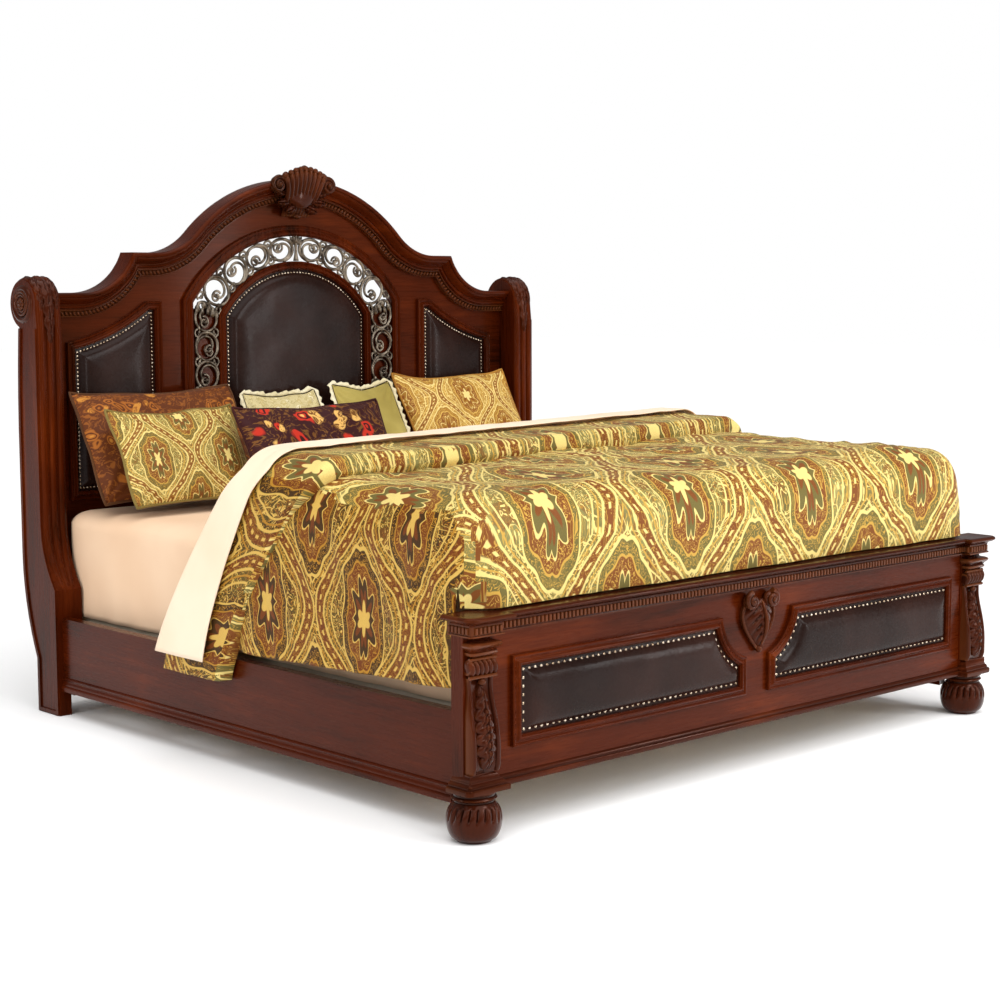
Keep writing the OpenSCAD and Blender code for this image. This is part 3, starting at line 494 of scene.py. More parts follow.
POST_IN, POST_OUT = 0.970, 1.058
POST_MID = 1.014
BOARD_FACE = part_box("headboard_board")[0].y
CROWN_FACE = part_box("crown_moulding")[0].y
CROWN_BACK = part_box("crown_moulding")[1].y
CROWN_END_Z, SHOULDER_Z, ARCH_TOP_Z = 1.326, 1.456, 1.714
ARCH_R, SWEEP_R, SWEEP_X = 0.600, 0.200, 0.870
ARCH_CZ = ARCH_TOP_Z - ARCH_R
SHOULDER_FLAT = POST_IN * 0.619
OGEE_C = ARCH_TOP_Z - SHOULDER_Z - ARCH_R
OGEE_R = (SHOULDER_FLAT ** 2 + OGEE_C ** 2 - ARCH_R ** 2) / (2 * (ARCH_R + OGEE_C))
OGEE_CZ = SHOULDER_Z + OGEE_R
OGEE_A = math.degrees(math.atan2(OGEE_CZ - ARCH_CZ, SHOULDER_FLAT))
SWEEP_CZ = CROWN_END_Z + SWEEP_R


def crown_line(d):
    drop = SWEEP_CZ - (SHOULDER_Z - d)
    reach = math.sqrt((SWEEP_R + d) ** 2 - drop ** 2)
    half = (
        arc(0, ARCH_CZ, ARCH_R - d, 90, OGEE_A, 2)
        + arc(SHOULDER_FLAT, OGEE_CZ, OGEE_R + d, 180 + OGEE_A, 270, 3)
        + arc(SWEEP_X, SWEEP_CZ, SWEEP_R + d, 180 + math.degrees(math.atan2(drop, reach)), 270, 4)
        + [(POST_IN, CROWN_END_Z - d)]
    )
    return tidy(flip(half) + half)


def crown_piece(name, sections, material, slot, replaces):
    """A moulding along the crown: each section is a list of (inset, y) round the profile.
    Its rings come from the crown's own outlines, so that its corners stay sharp."""
    build = Build()
    for section in sections:
        lines = [crown_line(d) for d, _ in section]
        n = min(len(line) for line in lines)
        lines = [resampled(line, n) for line in lines]
        rings = [[(line[i][0], y, line[i][1]) for line, (_, y) in zip(lines, section)] for i in range(n)]
        build.loft(rings)
    return build.done(name, material, slot, replaces, angle=30)


def resampled(line, n):
    """Keeps a crown line's corners and gives each of its stretches the same number of points."""
    return line if len(line) == n else [line[round(i * (len(line) - 1) / (n - 1))] for i in range(n)]


def crown_section():
    f, b = CROWN_FACE, CROWN_BACK
    return [
        (0.0, b), (0.0, f + 0.012), (0.001, f + 0.006), (0.004, f + 0.002), (0.008, f), (0.013, f + 0.001),
        (0.016, f + 0.004), (0.0165, f + 0.009), (0.020, f + 0.009), (0.023, f + 0.011), (0.028, f + 0.017),
        (0.033, f + 0.025), (0.037, f + 0.030), (0.0375, f + 0.034), (0.040, f + 0.034), (0.042, f + 0.031),
        (0.045, f + 0.030), (0.048, f + 0.031), (0.050, f + 0.034), (0.0505, f + 0.040), (0.054, f + 0.040),
        (0.054, BOARD_FACE), (0.020, BOARD_FACE), (0.020, b),
    ]


crown_piece("crown_moulding_carved", [crown_section()], WOOD_X, "cherry_wood", ["crown_moulding"])


def rope_band():
    """The carved band under the crown: slanted beads between two fine fillets."""
    build = Build()
    y = CROWN_FACE + 0.040
    for lo, hi, front in ((0.054, 0.058, y - 0.004), (0.058, 0.074, y + 0.006), (0.074, 0.0775, y)):
        lines = [crown_line(lo), crown_line(hi)]
        n = min(len(lines[0]), len(lines[1]))
        rings = []
        for i in range(n):
            (ax, az), (bx, bz) = [resampled(line, n)[i] for line in lines]
            rings.append([(ax, BOARD_FACE, az), (ax, front + 0.001, az), (ax * 0.7 + bx * 0.3, front,
                az * 0.7 + bz * 0.3), (ax * 0.3 + bx * 0.7, front, az * 0.3 + bz * 0.7),
                (bx, front + 0.001, bz), (bx, BOARD_FACE, bz)])
        build.loft(rings)
    verts, faces = blob(5, 8)
    points, ways = even(crown_line(0.066), 0.0145)
    frames = []
    for (x, z), (dx, dz) in zip(points[1:-1], ways[1:-1]):
        slant = 0.45 if x < 0 else -0.45
        along = (dx * math.cos(slant) - dz * math.sin(slant), 0, dx * math.sin(slant)
            + dz * math.cos(slant))
        frames.append(facing((x, y + 0.006, z), along, (0, -1, 0), (0.0052, 0.0095, 0.0085)))
    build.copies(verts, faces, frames)
    return build.done("crown_rope_band_carved", CARVED, "dark_cherry", ["crown_rope_band"])


rope_band()


FRAME_SECTION = [(0.0, 0.0), (0.0, 0.60), (0.06, 0.74), (0.16, 0.80), (0.26, 0.72), (0.33, 0.58),
    (0.38, 0.56), (0.44, 0.60), (0.52, 0.76), (0.62, 0.93), (0.72, 1.0), (0.80, 0.97), (0.86, 0.86),
    (0.88, 0.72), (0.93, 0.74), (0.98, 0.66), (1.0, 0.50), (1.0, 0.0)]


def frame_section(width, rise, board):
    return [(d * width, board - h * rise) for d, h in FRAME_SECTION]


PANEL_FLOOR = 0.660
ARCHES = {"outer": (0.468, 0.558, SHOULDER_Z - 0.458, 0.038),
    "inner": (0.327, 0.387, SHOULDER_Z - 0.411, 0.028)}
ARCH_RISE = 0.020


def arch_line(x, r, cz, inset=0.0, floor=PANEL_FLOOR):
    """Up the right side, over the arch and down the left, so that inward is on the left."""
    a = math.degrees(math.acos((x - inset) / (r - inset)))
    return [(x - inset, floor)] + arc(0, cz, r - inset, a, 180 - a, 2) + [(-x + inset, floor)]


def arch_frame(name, key, node):
    x, r, cz, width = ARCHES[key]
    build = Build()
    line = arch_line(x, r, cz)
    sweep(build, tidy(line), frame_section(width, ARCH_RISE, BOARD_FACE), closed=key == "inner")
    return build.done(name, WOOD_Z, "cherry_wood", [node], angle=34)


arch_frame("arch_outer_moulding", "outer", "arch_outer_frame")
arch_frame("arch_inner_moulding", "inner", "arch_inner_frame")

SLOPE_R, SLOPE_X, SLOPE_Z = 0.715, 1.039, SHOULDER_Z + 0.415
SIDE_IN, SIDE_OUT, SIDE_TOP = 0.553, POST_IN - 0.061, SHOULDER_Z - 0.159
SIDE_WIDTH = 0.028


def side_line(inset=0.0):
    """The right-hand side panel's outline, anticlockwise seen from the front."""
    r = SLOPE_R + inset
    x0, x1 = SIDE_IN + inset, SIDE_OUT - inset
    top = SIDE_TOP - inset
    xt = SLOPE_X - math.sqrt(r * r - (SLOPE_Z - top) ** 2)
    a1 = math.degrees(math.atan2(-math.sqrt(r * r - (SLOPE_X - x1) ** 2), x1 - SLOPE_X))
    at = math.degrees(math.atan2(top - SLOPE_Z, xt - SLOPE_X))
    return [(x0, PANEL_FLOOR + inset), (x1, PANEL_FLOOR + inset)] + arc(SLOPE_X, SLOPE_Z, r, a1, at,
        2) + [(x0, top)]


def mirrored(line, side):
    return line if side > 0 else flip(line)


def panel_frame(name, line, width, rise, board, material, node):
    build = Build()
    sweep(build, tidy(line), frame_section(width, rise, board), closed=True)
    return build.done(name, material, "cherry_wood", [node], angle=34)


for side, word in ((-1, "left"), (1, "right")):
    panel_frame(f"side_moulding_{word}", mirrored(side_line(), side), SIDE_WIDTH, ARCH_RISE, BOARD_FACE,
        WOOD_Z, f"side_frame_{word}")


# ---------------------------------------------------------------- leather and nails
def inside(points, line):
    """Which points lie inside a closed line."""
    x, z = points[:, 0], points[:, 1]
    hit = np.zeros(len(points), bool)
    for (x0, z0), (x1, z1) in zip(line, np.roll(line, -1, 0)):
        if z0 != z1:
            cross = (z0 > z) != (z1 > z)
            hit ^= cross & (x < (x1 - x0) * (z - z0) / (z1 - z0) + x0)
    return hit


def edge_distance(points, line, closed=True):
    a = np.array(line, float)
    b = np.roll(a, -1, 0)
    if not closed:
        a, b = a[:-1], b[:-1]
    best = np.full(len(points), 1e9)
    for p0, p1 in zip(a, b):
        d = p1 - p0
        t = np.clip(((points - p0) @ d) / max(d @ d, 1e-12), 0, 1)
        best = np.minimum(best, np.linalg.norm(points - (p0 + t[:, None] * d), axis=1))
    return best


def nail_places(line, pitch):
    """Even nails along each straight or smooth stretch of a closed line, one on every corner."""
    p = np.array(tidy(line), float)
    d = np.roll(p, -1, 0) - p
    turn = np.abs(np.degrees(np.arctan2(
        d[:, 0] * np.roll(d, 1, 0)[:, 1] - d[:, 1] * np.roll(d, 1, 0)[:, 0],
        (d * np.roll(d, 1, 0)).sum(1))))
    corners = [i for i in range(len(p)) if turn[i] > 20]
    out = []
    for a, b in zip(corners, corners[1:] + [corners[0] + len(p)]):
        stretch = [p[k % len(p)] for k in range(a, b + 1)]
        places, _ = even(stretch, pitch)
        out += list(places[:-1])
    return np.array(out)


PAD_STEP = 0.0065
PAD_EDGE = 0.005
NAIL_DEPTH = 0.011


def pad(name, line, board, rise, nails, node, roll=0.024):
    """Leather stretched over padding: low at its edge, drawn down by the nails, then domed."""
    rim = resample(tidy(line), PAD_STEP, closed=True)
    low, high = rim.min(0), rim.max(0)
    gx, gz = np.meshgrid(np.arange(low[0], high[0], PAD_STEP), np.arange(low[1], high[1], PAD_STEP * 0.9))
    gx[::2] += PAD_STEP / 2
    grid = np.stack([gx.ravel(), gz.ravel()], 1)
    grid = grid[inside(grid, rim)]
    grid = grid[edge_distance(grid, rim) > PAD_STEP * 0.55]
    points = np.vstack([rim, grid])
    n = len(rim)
    flat, _, faces, *_ = delaunay_2d_cdt([Vector(q) for q in points],
        [(i, (i + 1) % n) for i in range(n)], [], 1, 1e-7)
    points = np.array([tuple(q) for q in flat])
    depth = edge_distance(points, rim)
    swell = np.clip((depth - NAIL_DEPTH) / roll, 0, None)
    height = PAD_EDGE + (rise - PAD_EDGE) * (1 - np.exp(-1.7 * swell ** 0.85)) + 0.002 * np.minimum(1,
        depth / 0.006)
    pull = np.zeros(len(points))
    for nail in nails:
        away = np.linalg.norm(points - nail, axis=1)
        pull += np.exp(-((away / 0.012) ** 2))
    height -= 0.0022 * np.minimum(pull, 1.2)
    puff = np.array([noise.noise(Vector((x * 9, z * 9, 3.1))) for x, z in points])
    height += 0.0012 * puff * np.minimum(1, depth / 0.05)
    build = Build()
    verts = [(x, board - h, z) for (x, z), h in zip(points, height)]
    back = [(x, board, z) for x, z in points[:n]]
    walls = [(i, (i + 1) % n, len(verts) + (i + 1) % n, len(verts) + i) for i in range(n)]
    build.add(verts + back, [tuple(f) for f in faces] + walls + [tuple(range(len(verts), len(verts) + n))])
    piece = build.done(name, LEATHER, "brown_leather", [node], angle=60)
    return piece


def dome(rings=4, sides=12):
    """A nail's round head, 1 across at its foot and 1 high."""
    verts, faces = [(0, 0, 1)], []
    for i in range(1, rings + 1):
        a = math.pi / 2 * i / rings
        verts += [(math.sin(a) * math.cos(TAU * j / sides), math.sin(a) * math.sin(TAU * j / sides),
            math.cos(a)) for j in range(sides)]
    for j in range(sides):
        k = (j + 1) % sides
        faces.append((0, 1 + j, 1 + k))
        for i in range(rings - 1):
            a, b = 1 + i * sides, 1 + (i + 1) * sides
            faces.append((a + j, b + j, b + k, a + k))
    last = 1 + (rings - 1) * sides
    faces.append(tuple(range(last, last + sides))[::-1])
    return np.array(verts, float), faces


HEAD_NAIL_R, FOOT_NAIL_R = 0.0047, 0.0050
HEAD_PITCH, FOOT_PITCH = 0.0128, 0.0205
NAIL_LIFT = 0.0048
nail_frames = []


def nail_row(line, pitch, radius, board):
    places = nail_places(line, pitch)
    for x, z in places:
        nail_frames.append(facing((x, board - NAIL_LIFT, z), (1, 0, 0), (0, -1, 0),
            (radius, radius, radius * 0.75)))
    return places


def inner_arch(inset):
    x, r, cz, _ = ARCHES["inner"]
    return arch_line(x, r, cz, inset, PANEL_FLOOR + inset)


head_pads = [("leather_centre", inner_arch(0.028), inner_arch(0.028 + NAIL_DEPTH), "leather_centre_panel",
    0.030)]
for side, word in ((-1, "left"), (1, "right")):
    head_pads.append((f"leather_side_{word}", mirrored(side_line(SIDE_WIDTH), side),
                      mirrored(side_line(SIDE_WIDTH + NAIL_DEPTH), side), f"leather_{word}_panel", 0.026))
for name, line, nails, node, rise in head_pads:
    pad(name, line, BOARD_FACE, rise, nail_row(nails, HEAD_PITCH, HEAD_NAIL_R, BOARD_FACE), node,
        roll=0.030)


# ---------------------------------------------------------------- footboard panels
PANEL_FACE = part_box("footboard_panel")[0].y
FOOT_Z0, FOOT_Z1, FOOT_X0, FOOT_X1 = 0.218, 0.448, 0.048, 0.932
CUT_R, CUT_Z = 0.152, 0.470
FOOT_FRAME_W, FOOT_FRAME_RISE = 0.028, 0.017


def foot_line(inset=0.0):
    """The right-hand footboard panel's outline with its hollow corner, anticlockwise."""
    r = CUT_R + inset
    x0, x1, z0, z1 = FOOT_X0 + inset, FOOT_X1 - inset, FOOT_Z0 + inset, FOOT_Z1 - inset
    a0 = -math.degrees(math.acos(x0 / r))
    a1 = -math.degrees(math.asin((CUT_Z - z1) / r))
    return [(x0, z0), (x1, z0), (x1, z1)] + arc(0, CUT_Z, r, a1, a0, 4)


for side, word in ((-1, "left"), (1, "right")):
    panel_frame(f"foot_moulding_{word}", mirrored(foot_line(), side), FOOT_FRAME_W, FOOT_FRAME_RISE,
        PANEL_FACE, WOOD_X, f"footboard_frame_{word}")
    places = nail_row(mirrored(foot_line(FOOT_FRAME_W + NAIL_DEPTH), side), FOOT_PITCH, FOOT_NAIL_R,
        PANEL_FACE)
    pad(f"leather_foot_{word}", mirrored(foot_line(FOOT_FRAME_W), side), PANEL_FACE, 0.026, places,
        f"footboard_leather_{word}", roll=0.026)

nails = Build()
nails.copies(*dome(), nail_frames)
nails.done("nailheads_domed", NAIL, "nail_metal", ["nailheads"], angle=0)


# ---------------------------------------------------------------- fretwork and crest
FRET_X, FRET_R, FRET_CZ = 0.3785, 0.4535, 1.0215
FRET_SPRING = FRET_CZ + math.sqrt(FRET_R ** 2 - FRET_X ** 2)
RING_PITCH = 0.104
ROD_R = 0.0058


class Strip:
    """Carries small curves onto the band between the arches: u runs out from the top of
    the arch and down, v runs across it, and w stands out from the board."""

    def __init__(self, side):
        self.side = side
        self.spring = FRET_R * math.asin(FRET_X / FRET_R)

    def at(self, u, v, w=0.0):
        if u < self.spring:
            a = u / FRET_R
            x, z = (FRET_R + v) * math.sin(a), FRET_CZ + (FRET_R + v) * math.cos(a)
        else:
            x, z = FRET_X + v, FRET_SPRING - (u - self.spring)
        return (self.side * x, BOARD_FACE - w, z)

    def line(self, points, w):
        return [self.at(u, v, w) for u, v in points]


def curl(cu, cv, ru, rv, start, turns, hand, shrink=0.62):
    """A ring that closes inwards into a spiral, as (u, v) points."""
    n = int(abs(turns) * 26)
    out = []
    for i in range(n + 1):
        t = i / n
        k = 1.0 if t < 0.55 else 1 - shrink * ((t - 0.55) / 0.45) ** 0.8
        a = math.radians(start) + hand * turns * TAU * t
        out.append((cu + ru * k * math.cos(a), cv + rv * k * math.sin(a)))
    return out


def scroll(build, strip, u, across, hand):
    """One ring of the fretwork with the curls and buds that hang on it."""
    depth = 0.009
    main = curl(u, 0, 0.047, across - 0.003, 90 * hand, 1.75, hand)
    tube(build, strip.line(main, depth), [ROD_R * (1.1 - 0.4 * i / len(main)) for i in range(len(main))], 8)
    end = strip.at(*main[-1], depth)
    ball(build, end, (0.008, 0.007, 0.008), 6, 10)
    small = curl(u + 0.014, -hand * 0.010, 0.018, 0.016, 200 * hand, 1.1, -hand, 0.7)
    tube(build, strip.line(small, depth + 0.001), 0.0044, 6)
    ball(build, strip.at(*small[-1], depth), (0.005, 0.005, 0.005), 5, 8)
    for k, v in ((0.052, across - 0.006), (0.052, -across + 0.006)):
        bud = curl(u + k, v * 0.86, 0.013, 0.011, 0, 1.0, 1 if v > 0 else -1, 0.6)
        tube(build, strip.line(bud, depth), 0.0044, 6)
        ball(build, strip.at(u + k, v * 0.72, depth), (0.006, 0.006, 0.008), 5, 8)
    ball(build, strip.at(u + 0.052, 0, depth), (0.006, 0.006, 0.012), 6, 8)
    for a in (-0.7, 0.7):
        ball(build, strip.at(u + 0.047 * math.cos(a), across * math.sin(a), depth + 0.002),
            (0.007, 0.006, 0.009), 5, 8)


def fretwork():
    """Pierced scrollwork on the band between the two arches."""
    build = Build()
    foot = FRET_SPRING - PANEL_FLOOR - 0.04
    for side in (-1, 1):
        strip = Strip(side)
        u, i = 0.062, 0
        while u < strip.spring + foot - 0.05:
            straight = u > strip.spring - 0.04
            across = 0.047 if straight else 0.040 + 0.022 * (u / strip.spring) ** 2
            scroll(build, strip, u, across, 1 if i % 2 else -1)
            u += RING_PITCH * (0.94 if straight else 1.0)
            i += 1
        for v in (-0.030, -0.010, 0.012, 0.034):
            ball(build, strip.at(strip.spring - 0.008 + 0.25 * abs(v), v, 0.010), (0.011, 0.008, 0.014), 6,
                10)
            ball(build, strip.at(strip.spring + 0.014 - 0.25 * abs(v), v + 0.004, 0.010),
                (0.008, 0.007, 0.013), 6, 10)
    for k in range(-3, 4):
        a = k * 0.32
        centre = (0.026 * math.sin(a), BOARD_FACE - 0.010, FRET_CZ + FRET_R + 0.008 + 0.026 * math.cos(a))
        build.copies(*blob(6, 8), [facing(centre, (math.sin(a), 0, math.cos(a)), (0, -1, 0),
            (0.017, 0.0055, 0.007))])
    tube(build, [(0, BOARD_FACE - 0.009, FRET_CZ + FRET_R + dz) for dz in (-0.042, -0.02, 0.0, 0.02)],
         [0.010, 0.006, 0.005, 0.007], 10)
    return build.done("arch_scrollwork", PEWTER, "antique_carving", ["arch_fretwork"], angle=50)


fretwork()

CREST_BACK = CROWN_FACE + 0.052
CREST_FRONT = CROWN_FACE - 0.012
# Where each side leaf starts, across and up from the arch top, how long it is and how it tilts.
CREST_LEAVES = [(0.086, -0.066, 0.052, 0.15), (0.070, -0.092, 0.055, -0.2), (0.048, -0.110, 0.045, -0.55),
                (0.118, -0.052, 0.036, 0.5)]


def crest():
    """A shell: nine ribs that fan up and lean forward, with volutes and leaves at its sides."""
    build = Build()
    low, high = ARCH_TOP_Z - 0.124, ARCH_TOP_Z + 0.034
    for i in range(-4, 5):
        line, radii = [], []
        for t in np.linspace(0, 1, 13):
            spread = 0.0125 + 0.0055 * t + 0.0025 * t ** 4
            lean = CREST_BACK + (CREST_FRONT - CREST_BACK) * (0.15 * t + 0.85 * math.sin(t * math.pi / 2))
            line.append((i * spread, lean - 0.004 * math.cos(i * 0.36),
                low + (high - low - 0.0016 * i * i) * t))
            radii.append(0.0078 + 0.0034 * t)
        radii[-1] = 0.006
        tube(build, line, radii, 10)
        ball(build, line[-1], (0.011, 0.009, 0.010), 6, 10)
    ball(build, (0, CROWN_FACE + 0.012, ARCH_TOP_Z - 0.03), (0.064, 0.014, 0.072), 12, 20)
    ball(build, (0, CREST_FRONT + 0.004, high + 0.001), (0.014, 0.010, 0.012), 8, 12)
    ball(build, (0, CREST_BACK - 0.012, low - 0.002), (0.016, 0.012, 0.011), 8, 12)
    for side in (-1, 1):
        centre = (side * 0.106, ARCH_TOP_Z - 0.022)
        volute = spiral(*centre, 0.030, 0.005, 1.8, 90 + 60 * side, CROWN_FACE - 0.002, -side, 0.008)
        tube(build, volute, np.linspace(0.0085, 0.0045, len(volute)), 10)
        ball(build, (centre[0], CROWN_FACE + 0.006, centre[1]), (0.030, 0.012, 0.030), 10, 16)
        ball(build, (centre[0], CROWN_FACE - 0.012, centre[1]), (0.009, 0.009, 0.009), 8, 12)
        for x, z, reach, tilt in CREST_LEAVES:
            start = np.array([side * (x - 0.022), CREST_BACK - 0.022, ARCH_TOP_Z + z + 0.014])
            way = np.array([side * math.cos(tilt), -0.15, math.sin(tilt)])
            points = [start + way * reach * t + np.array([0, -0.012 * math.sin(t * math.pi), 0.006 * t * t])
                      for t in np.linspace(0, 1, 9)]
            leaf(build, points, (0, -1, 0), [0.004, 0.014, 0.017, 0.014, 0.003], 0.014, 4, across=11,
                thick=0.02)
        bud = spiral(side * 0.078, ARCH_TOP_Z + 0.008, 0.016, 0.004, 1.3, 200 if side > 0 else -20,
            CROWN_FACE - 0.008, side)
        tube(build, bud, 0.006, 8)
    return build.done("crest_shell_carved", CARVED, "dark_cherry", ["crest_shell"], angle=50)


crest()


# ---------------------------------------------------------------- headboard posts
POST_FACE = at_y(2.014)
ROLL_Y, ROLL_Z, ROLL_R = at_y(2.096), 1.291, 0.076
SWEEP_TOP, SWEEP_END, SWEEP_OUT = 0.600, 0.400, 0.076


def post_front(z):
    t = min(1.0, max(0.0, (SWEEP_TOP - z) / (SWEEP_TOP - SWEEP_END)))
    return POST_FACE - SWEEP_OUT * t * t


def post_line(low, round_to):
    """Up the post's front and over its roll, as (y, z)."""
    rise = [(post_front(z), z) for z in np.linspace(low, SWEEP_TOP, 16)]
    rise += [(POST_FACE, z) for z in np.linspace(SWEEP_TOP, ROLL_Z - ROLL_R, 6)[1:]]
    lead = [(POST_FACE + (ROLL_Y - ROLL_R - POST_FACE) * t, ROLL_Z - ROLL_R * (1 - t)) for t in (0.35, 0.7)]
    return rise + lead + arc(ROLL_Y, ROLL_Z, ROLL_R, 180, round_to, 6)


REED_H, REED_HALF = 0.0095, 0.0125


def reeds():
    """Three half-round reeds up each post, over its roll, and tapered to points at the foot."""
    build = Build()
    line = np.array(post_line(0.365, 10))
    out = miters(line, False)
    run = np.concatenate([[0], np.cumsum(np.linalg.norm(np.diff(line, axis=0), axis=1))])
    taper = np.clip(run / 0.20, 0.02, 1) ** 0.7
    for side in (-1, 1):
        for k in range(3):
            middle = POST_IN + 0.0155 + k * 0.0285
            rings = []
            for p, m, w in zip(line, out, taper):
                x = POST_MID + (middle - POST_MID) * (0.35 + 0.65 * w)
                ring = []
                for a in np.linspace(0, math.pi, 11):
                    q = p + m * (REED_H * w * math.sin(a) - 0.0015)
                    ring.append((side * (x + REED_HALF * w * math.cos(a)), q[0], q[1]))
                q = p - m * 0.006
                ring += [(side * (x + way * REED_HALF * w * 0.9), q[0], q[1]) for way in (-1, 1)]
                rings.append(ring)
            build.loft(rings)
    return build.done("post_reeds", WOOD_Z, "cherry_wood", ["post_reeding"], angle=50)


WIDE_LEAF = [0.006, 0.019, 0.022, 0.020, 0.017]
NARROW_LEAF = [0.004, 0.012, 0.014, 0.013, 0.01]


def post_leaves():
    """An acanthus leaf that laps each roll and hangs down the reeds."""
    build = Build()
    line = post_line(ROLL_Z - 0.128, 75)
    line = [p for p in line if p[1] > ROLL_Z - 0.13]
    out = miters(line, False)
    for side in (-1, 1):
        for dx in (0, -0.027, 0.027):
            half, low = (WIDE_LEAF, 0) if dx == 0 else (NARROW_LEAF, 3)
            x = side * (POST_MID + dx)
            points = [(x, p[0] + m[0] * 0.005, p[1] + m[1] * 0.005) for p, m in zip(line, out)][low:]
            middle = np.array([side * (POST_MID + dx), ROLL_Y + 0.01, ROLL_Z])
            leaf(build, points, lambda q, c=middle: q - c, half, 0.0095 - 0.002 * (dx != 0), 6, across=13,
                thick=0.005)
    return build.done("post_acanthus_carved", CARVED, "dark_cherry", ["post_acanthus"], angle=50)


def rosettes():
    """The end of each roll: a disc with a rim, a spiral and a flower."""
    build = Build()
    for side in (-1, 1):
        def on(r, a, h):
            return (side * (POST_OUT + h), ROLL_Y + r * math.cos(a), ROLL_Z + r * math.sin(a))
        section = [(0.001, 0.0), (0.001, 0.004), (0.034, 0.003), (0.038, 0.001), (0.041, 0.003),
            (0.045, 0.0075), (0.050, 0.0085), (0.055, 0.0065), (0.058, 0.002), (0.060, 0.0)]
        build.loft([[on(r, TAU * j / 48, h) for j in range(48)] for r, h in section])
        winding = [on(0.040 - 0.022 * t, 0.6 + 4.4 * math.pi * t, 0.004) for t in np.linspace(0, 1, 70)]
        tube(build, winding, np.linspace(0.0055, 0.003, 70), 8, normal=(side, 0, 0))
        for j in range(8):
            ball(build, on(0.013, TAU * j / 8, 0.006), (0.005, 0.0065, 0.0065), 6, 10)
        ball(build, on(0, 0, 0.007), (0.006, 0.008, 0.008), 8, 12)
    return build.done("scroll_rosettes_carved", CARVED, "dark_cherry", ["scroll_rosettes"], angle=50)


reeds()
post_leaves()
rosettes()


# ---------------------------------------------------------------- footboard woodwork
CORNER_IN, CORNER_OUT = 0.990, 1.090
CORNER_FACE = at_y(-0.018)
CAP_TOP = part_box("footboard_cap")[1].z


def plan(d, out_x, in_x, ahead, mid, back_post, back_mid, radius):
    """An outline in plan, inset by d, that steps forward at the posts."""
    r = max(radius - d, 0.001)
    right = [(0.0, at_y(-mid) + d), (in_x + d, at_y(-mid) + d), (in_x + d, at_y(-ahead) + d)]
    right += arc(out_x - radius, at_y(-ahead) + radius, r, -90, 0, 9)
    right += [(out_x - d, at_y(back_post)), (in_x, at_y(back_post)), (in_x, at_y(back_mid)),
        (0.0, at_y(back_mid))]
    return [(-x, y) for x, y in right[::-1][:-1]][1:] + right


def stack(name, profile, material, slot, replaces, **shape):
    """A moulding built up in plan: each (inset, z) of its profile is one outline."""
    build = Build()
    rings = []
    for d, z in profile:
        rings.append([(x, y, z) for x, y in plan(d, **shape)])
    build.loft(rings)
    return build.done(name, material, slot, replaces, angle=30)


CAP = dict(out_x=1.115, in_x=0.965, ahead=0.075, mid=0.050, back_post=0.035, back_mid=0.035, radius=0.032)
T = CAP_TOP
CAP_PROFILE = [(0.024, T - 0.025), (0.0235, T - 0.022), (0.020, T - 0.018), (0.014, T - 0.0155),
    (0.008, T - 0.0148), (0.008, T - 0.0125), (0.004, T - 0.0125), (0.001, T - 0.0105), (0.0, T - 0.0075),
    (0.0008, T - 0.0045), (0.003, T - 0.0022), (0.007, T - 0.0005), (0.012, T), (0.016, T - 0.0006)]
stack("footboard_cap_moulded", CAP_PROFILE, TRIM, "dark_cherry", ["footboard_cap"], **CAP)


def dentils():
    """A band of small upright teeth under the cap."""
    build = Build()
    for profile in ([(0.025, T - 0.050), (0.025, T - 0.025)], [(0.0245, T - 0.053), (0.020, T - 0.0515),
            (0.020, T - 0.048), (0.025, T - 0.047)]):
        build.loft([[(x, y, z) for x, y in plan(d, **CAP)] for d, z in profile])
    tooth = [(-1, -1), (1, -1), (1, 1), (-1, 1)]
    verts = [(x, y, 0) for x, y in tooth] + [(x, y, 0.7) for x, y in tooth] + [(x * 0.7, y * 0.85, 1)
        for x, y in tooth]
    faces = [(i, (i + 1) % 4, 4 + (i + 1) % 4, 4 + i) for i in range(4)]
    faces += [(4 + i, 4 + (i + 1) % 4, 8 + (i + 1) % 4, 8 + i) for i in range(4)] + [(8, 9, 10, 11),
        (3, 2, 1, 0)]
    line = [p for p in plan(0.025, **CAP)]
    keep = [p for p in line if p[1] < at_y(0.03) or abs(p[0]) > 1.05]
    runs = []
    for a, b in zip(keep, keep[1:]):
        if math.dist(a, b) > 0.02 and not (a[1] > at_y(0.0) and b[1] > at_y(0.0)
                and abs(a[0] - b[0]) > 0.02):
            runs.append((a, b))
    frames = []
    for a, b in runs:
        places, ways = even([a, b], 0.0135)
        for (x, y), (dx, dy) in zip((places[1:] + places[:-1]) / 2, ways):
            frames.append(facing((x, y, T - 0.036), (dx, dy, 0), (dy, -dx, 0), (0.0042, 0.0085, 0.0055)))
    build.copies(np.array(verts, float), faces, frames)
    return build.done("footboard_dentils", CARVED, "dark_cherry", ["footboard_dentil_band"], angle=20)


dentils()

BASE = dict(out_x=1.110, in_x=0.974, ahead=0.062, mid=0.029, back_post=0.025, back_mid=0.0, radius=0.018)
BASE_PROFILE = [(0.004, 0.127), (0.001, 0.128), (0.0, 0.131), (0.0, 0.139), (0.001, 0.1415),
    (0.004, 0.143), (0.008, 0.1435), (0.008, 0.147), (0.0095, 0.1505), (0.012, 0.153), (0.015, 0.1545),
    (0.015, 0.158), (0.018, 0.158), (0.020, 0.164), (0.024, 0.169), (0.030, 0.172), (0.030, 0.175),
    (0.034, 0.176)]
stack("footboard_base_moulded", BASE_PROFILE, TRIM, "dark_cherry", ["footboard_base_moulding"], **BASE)


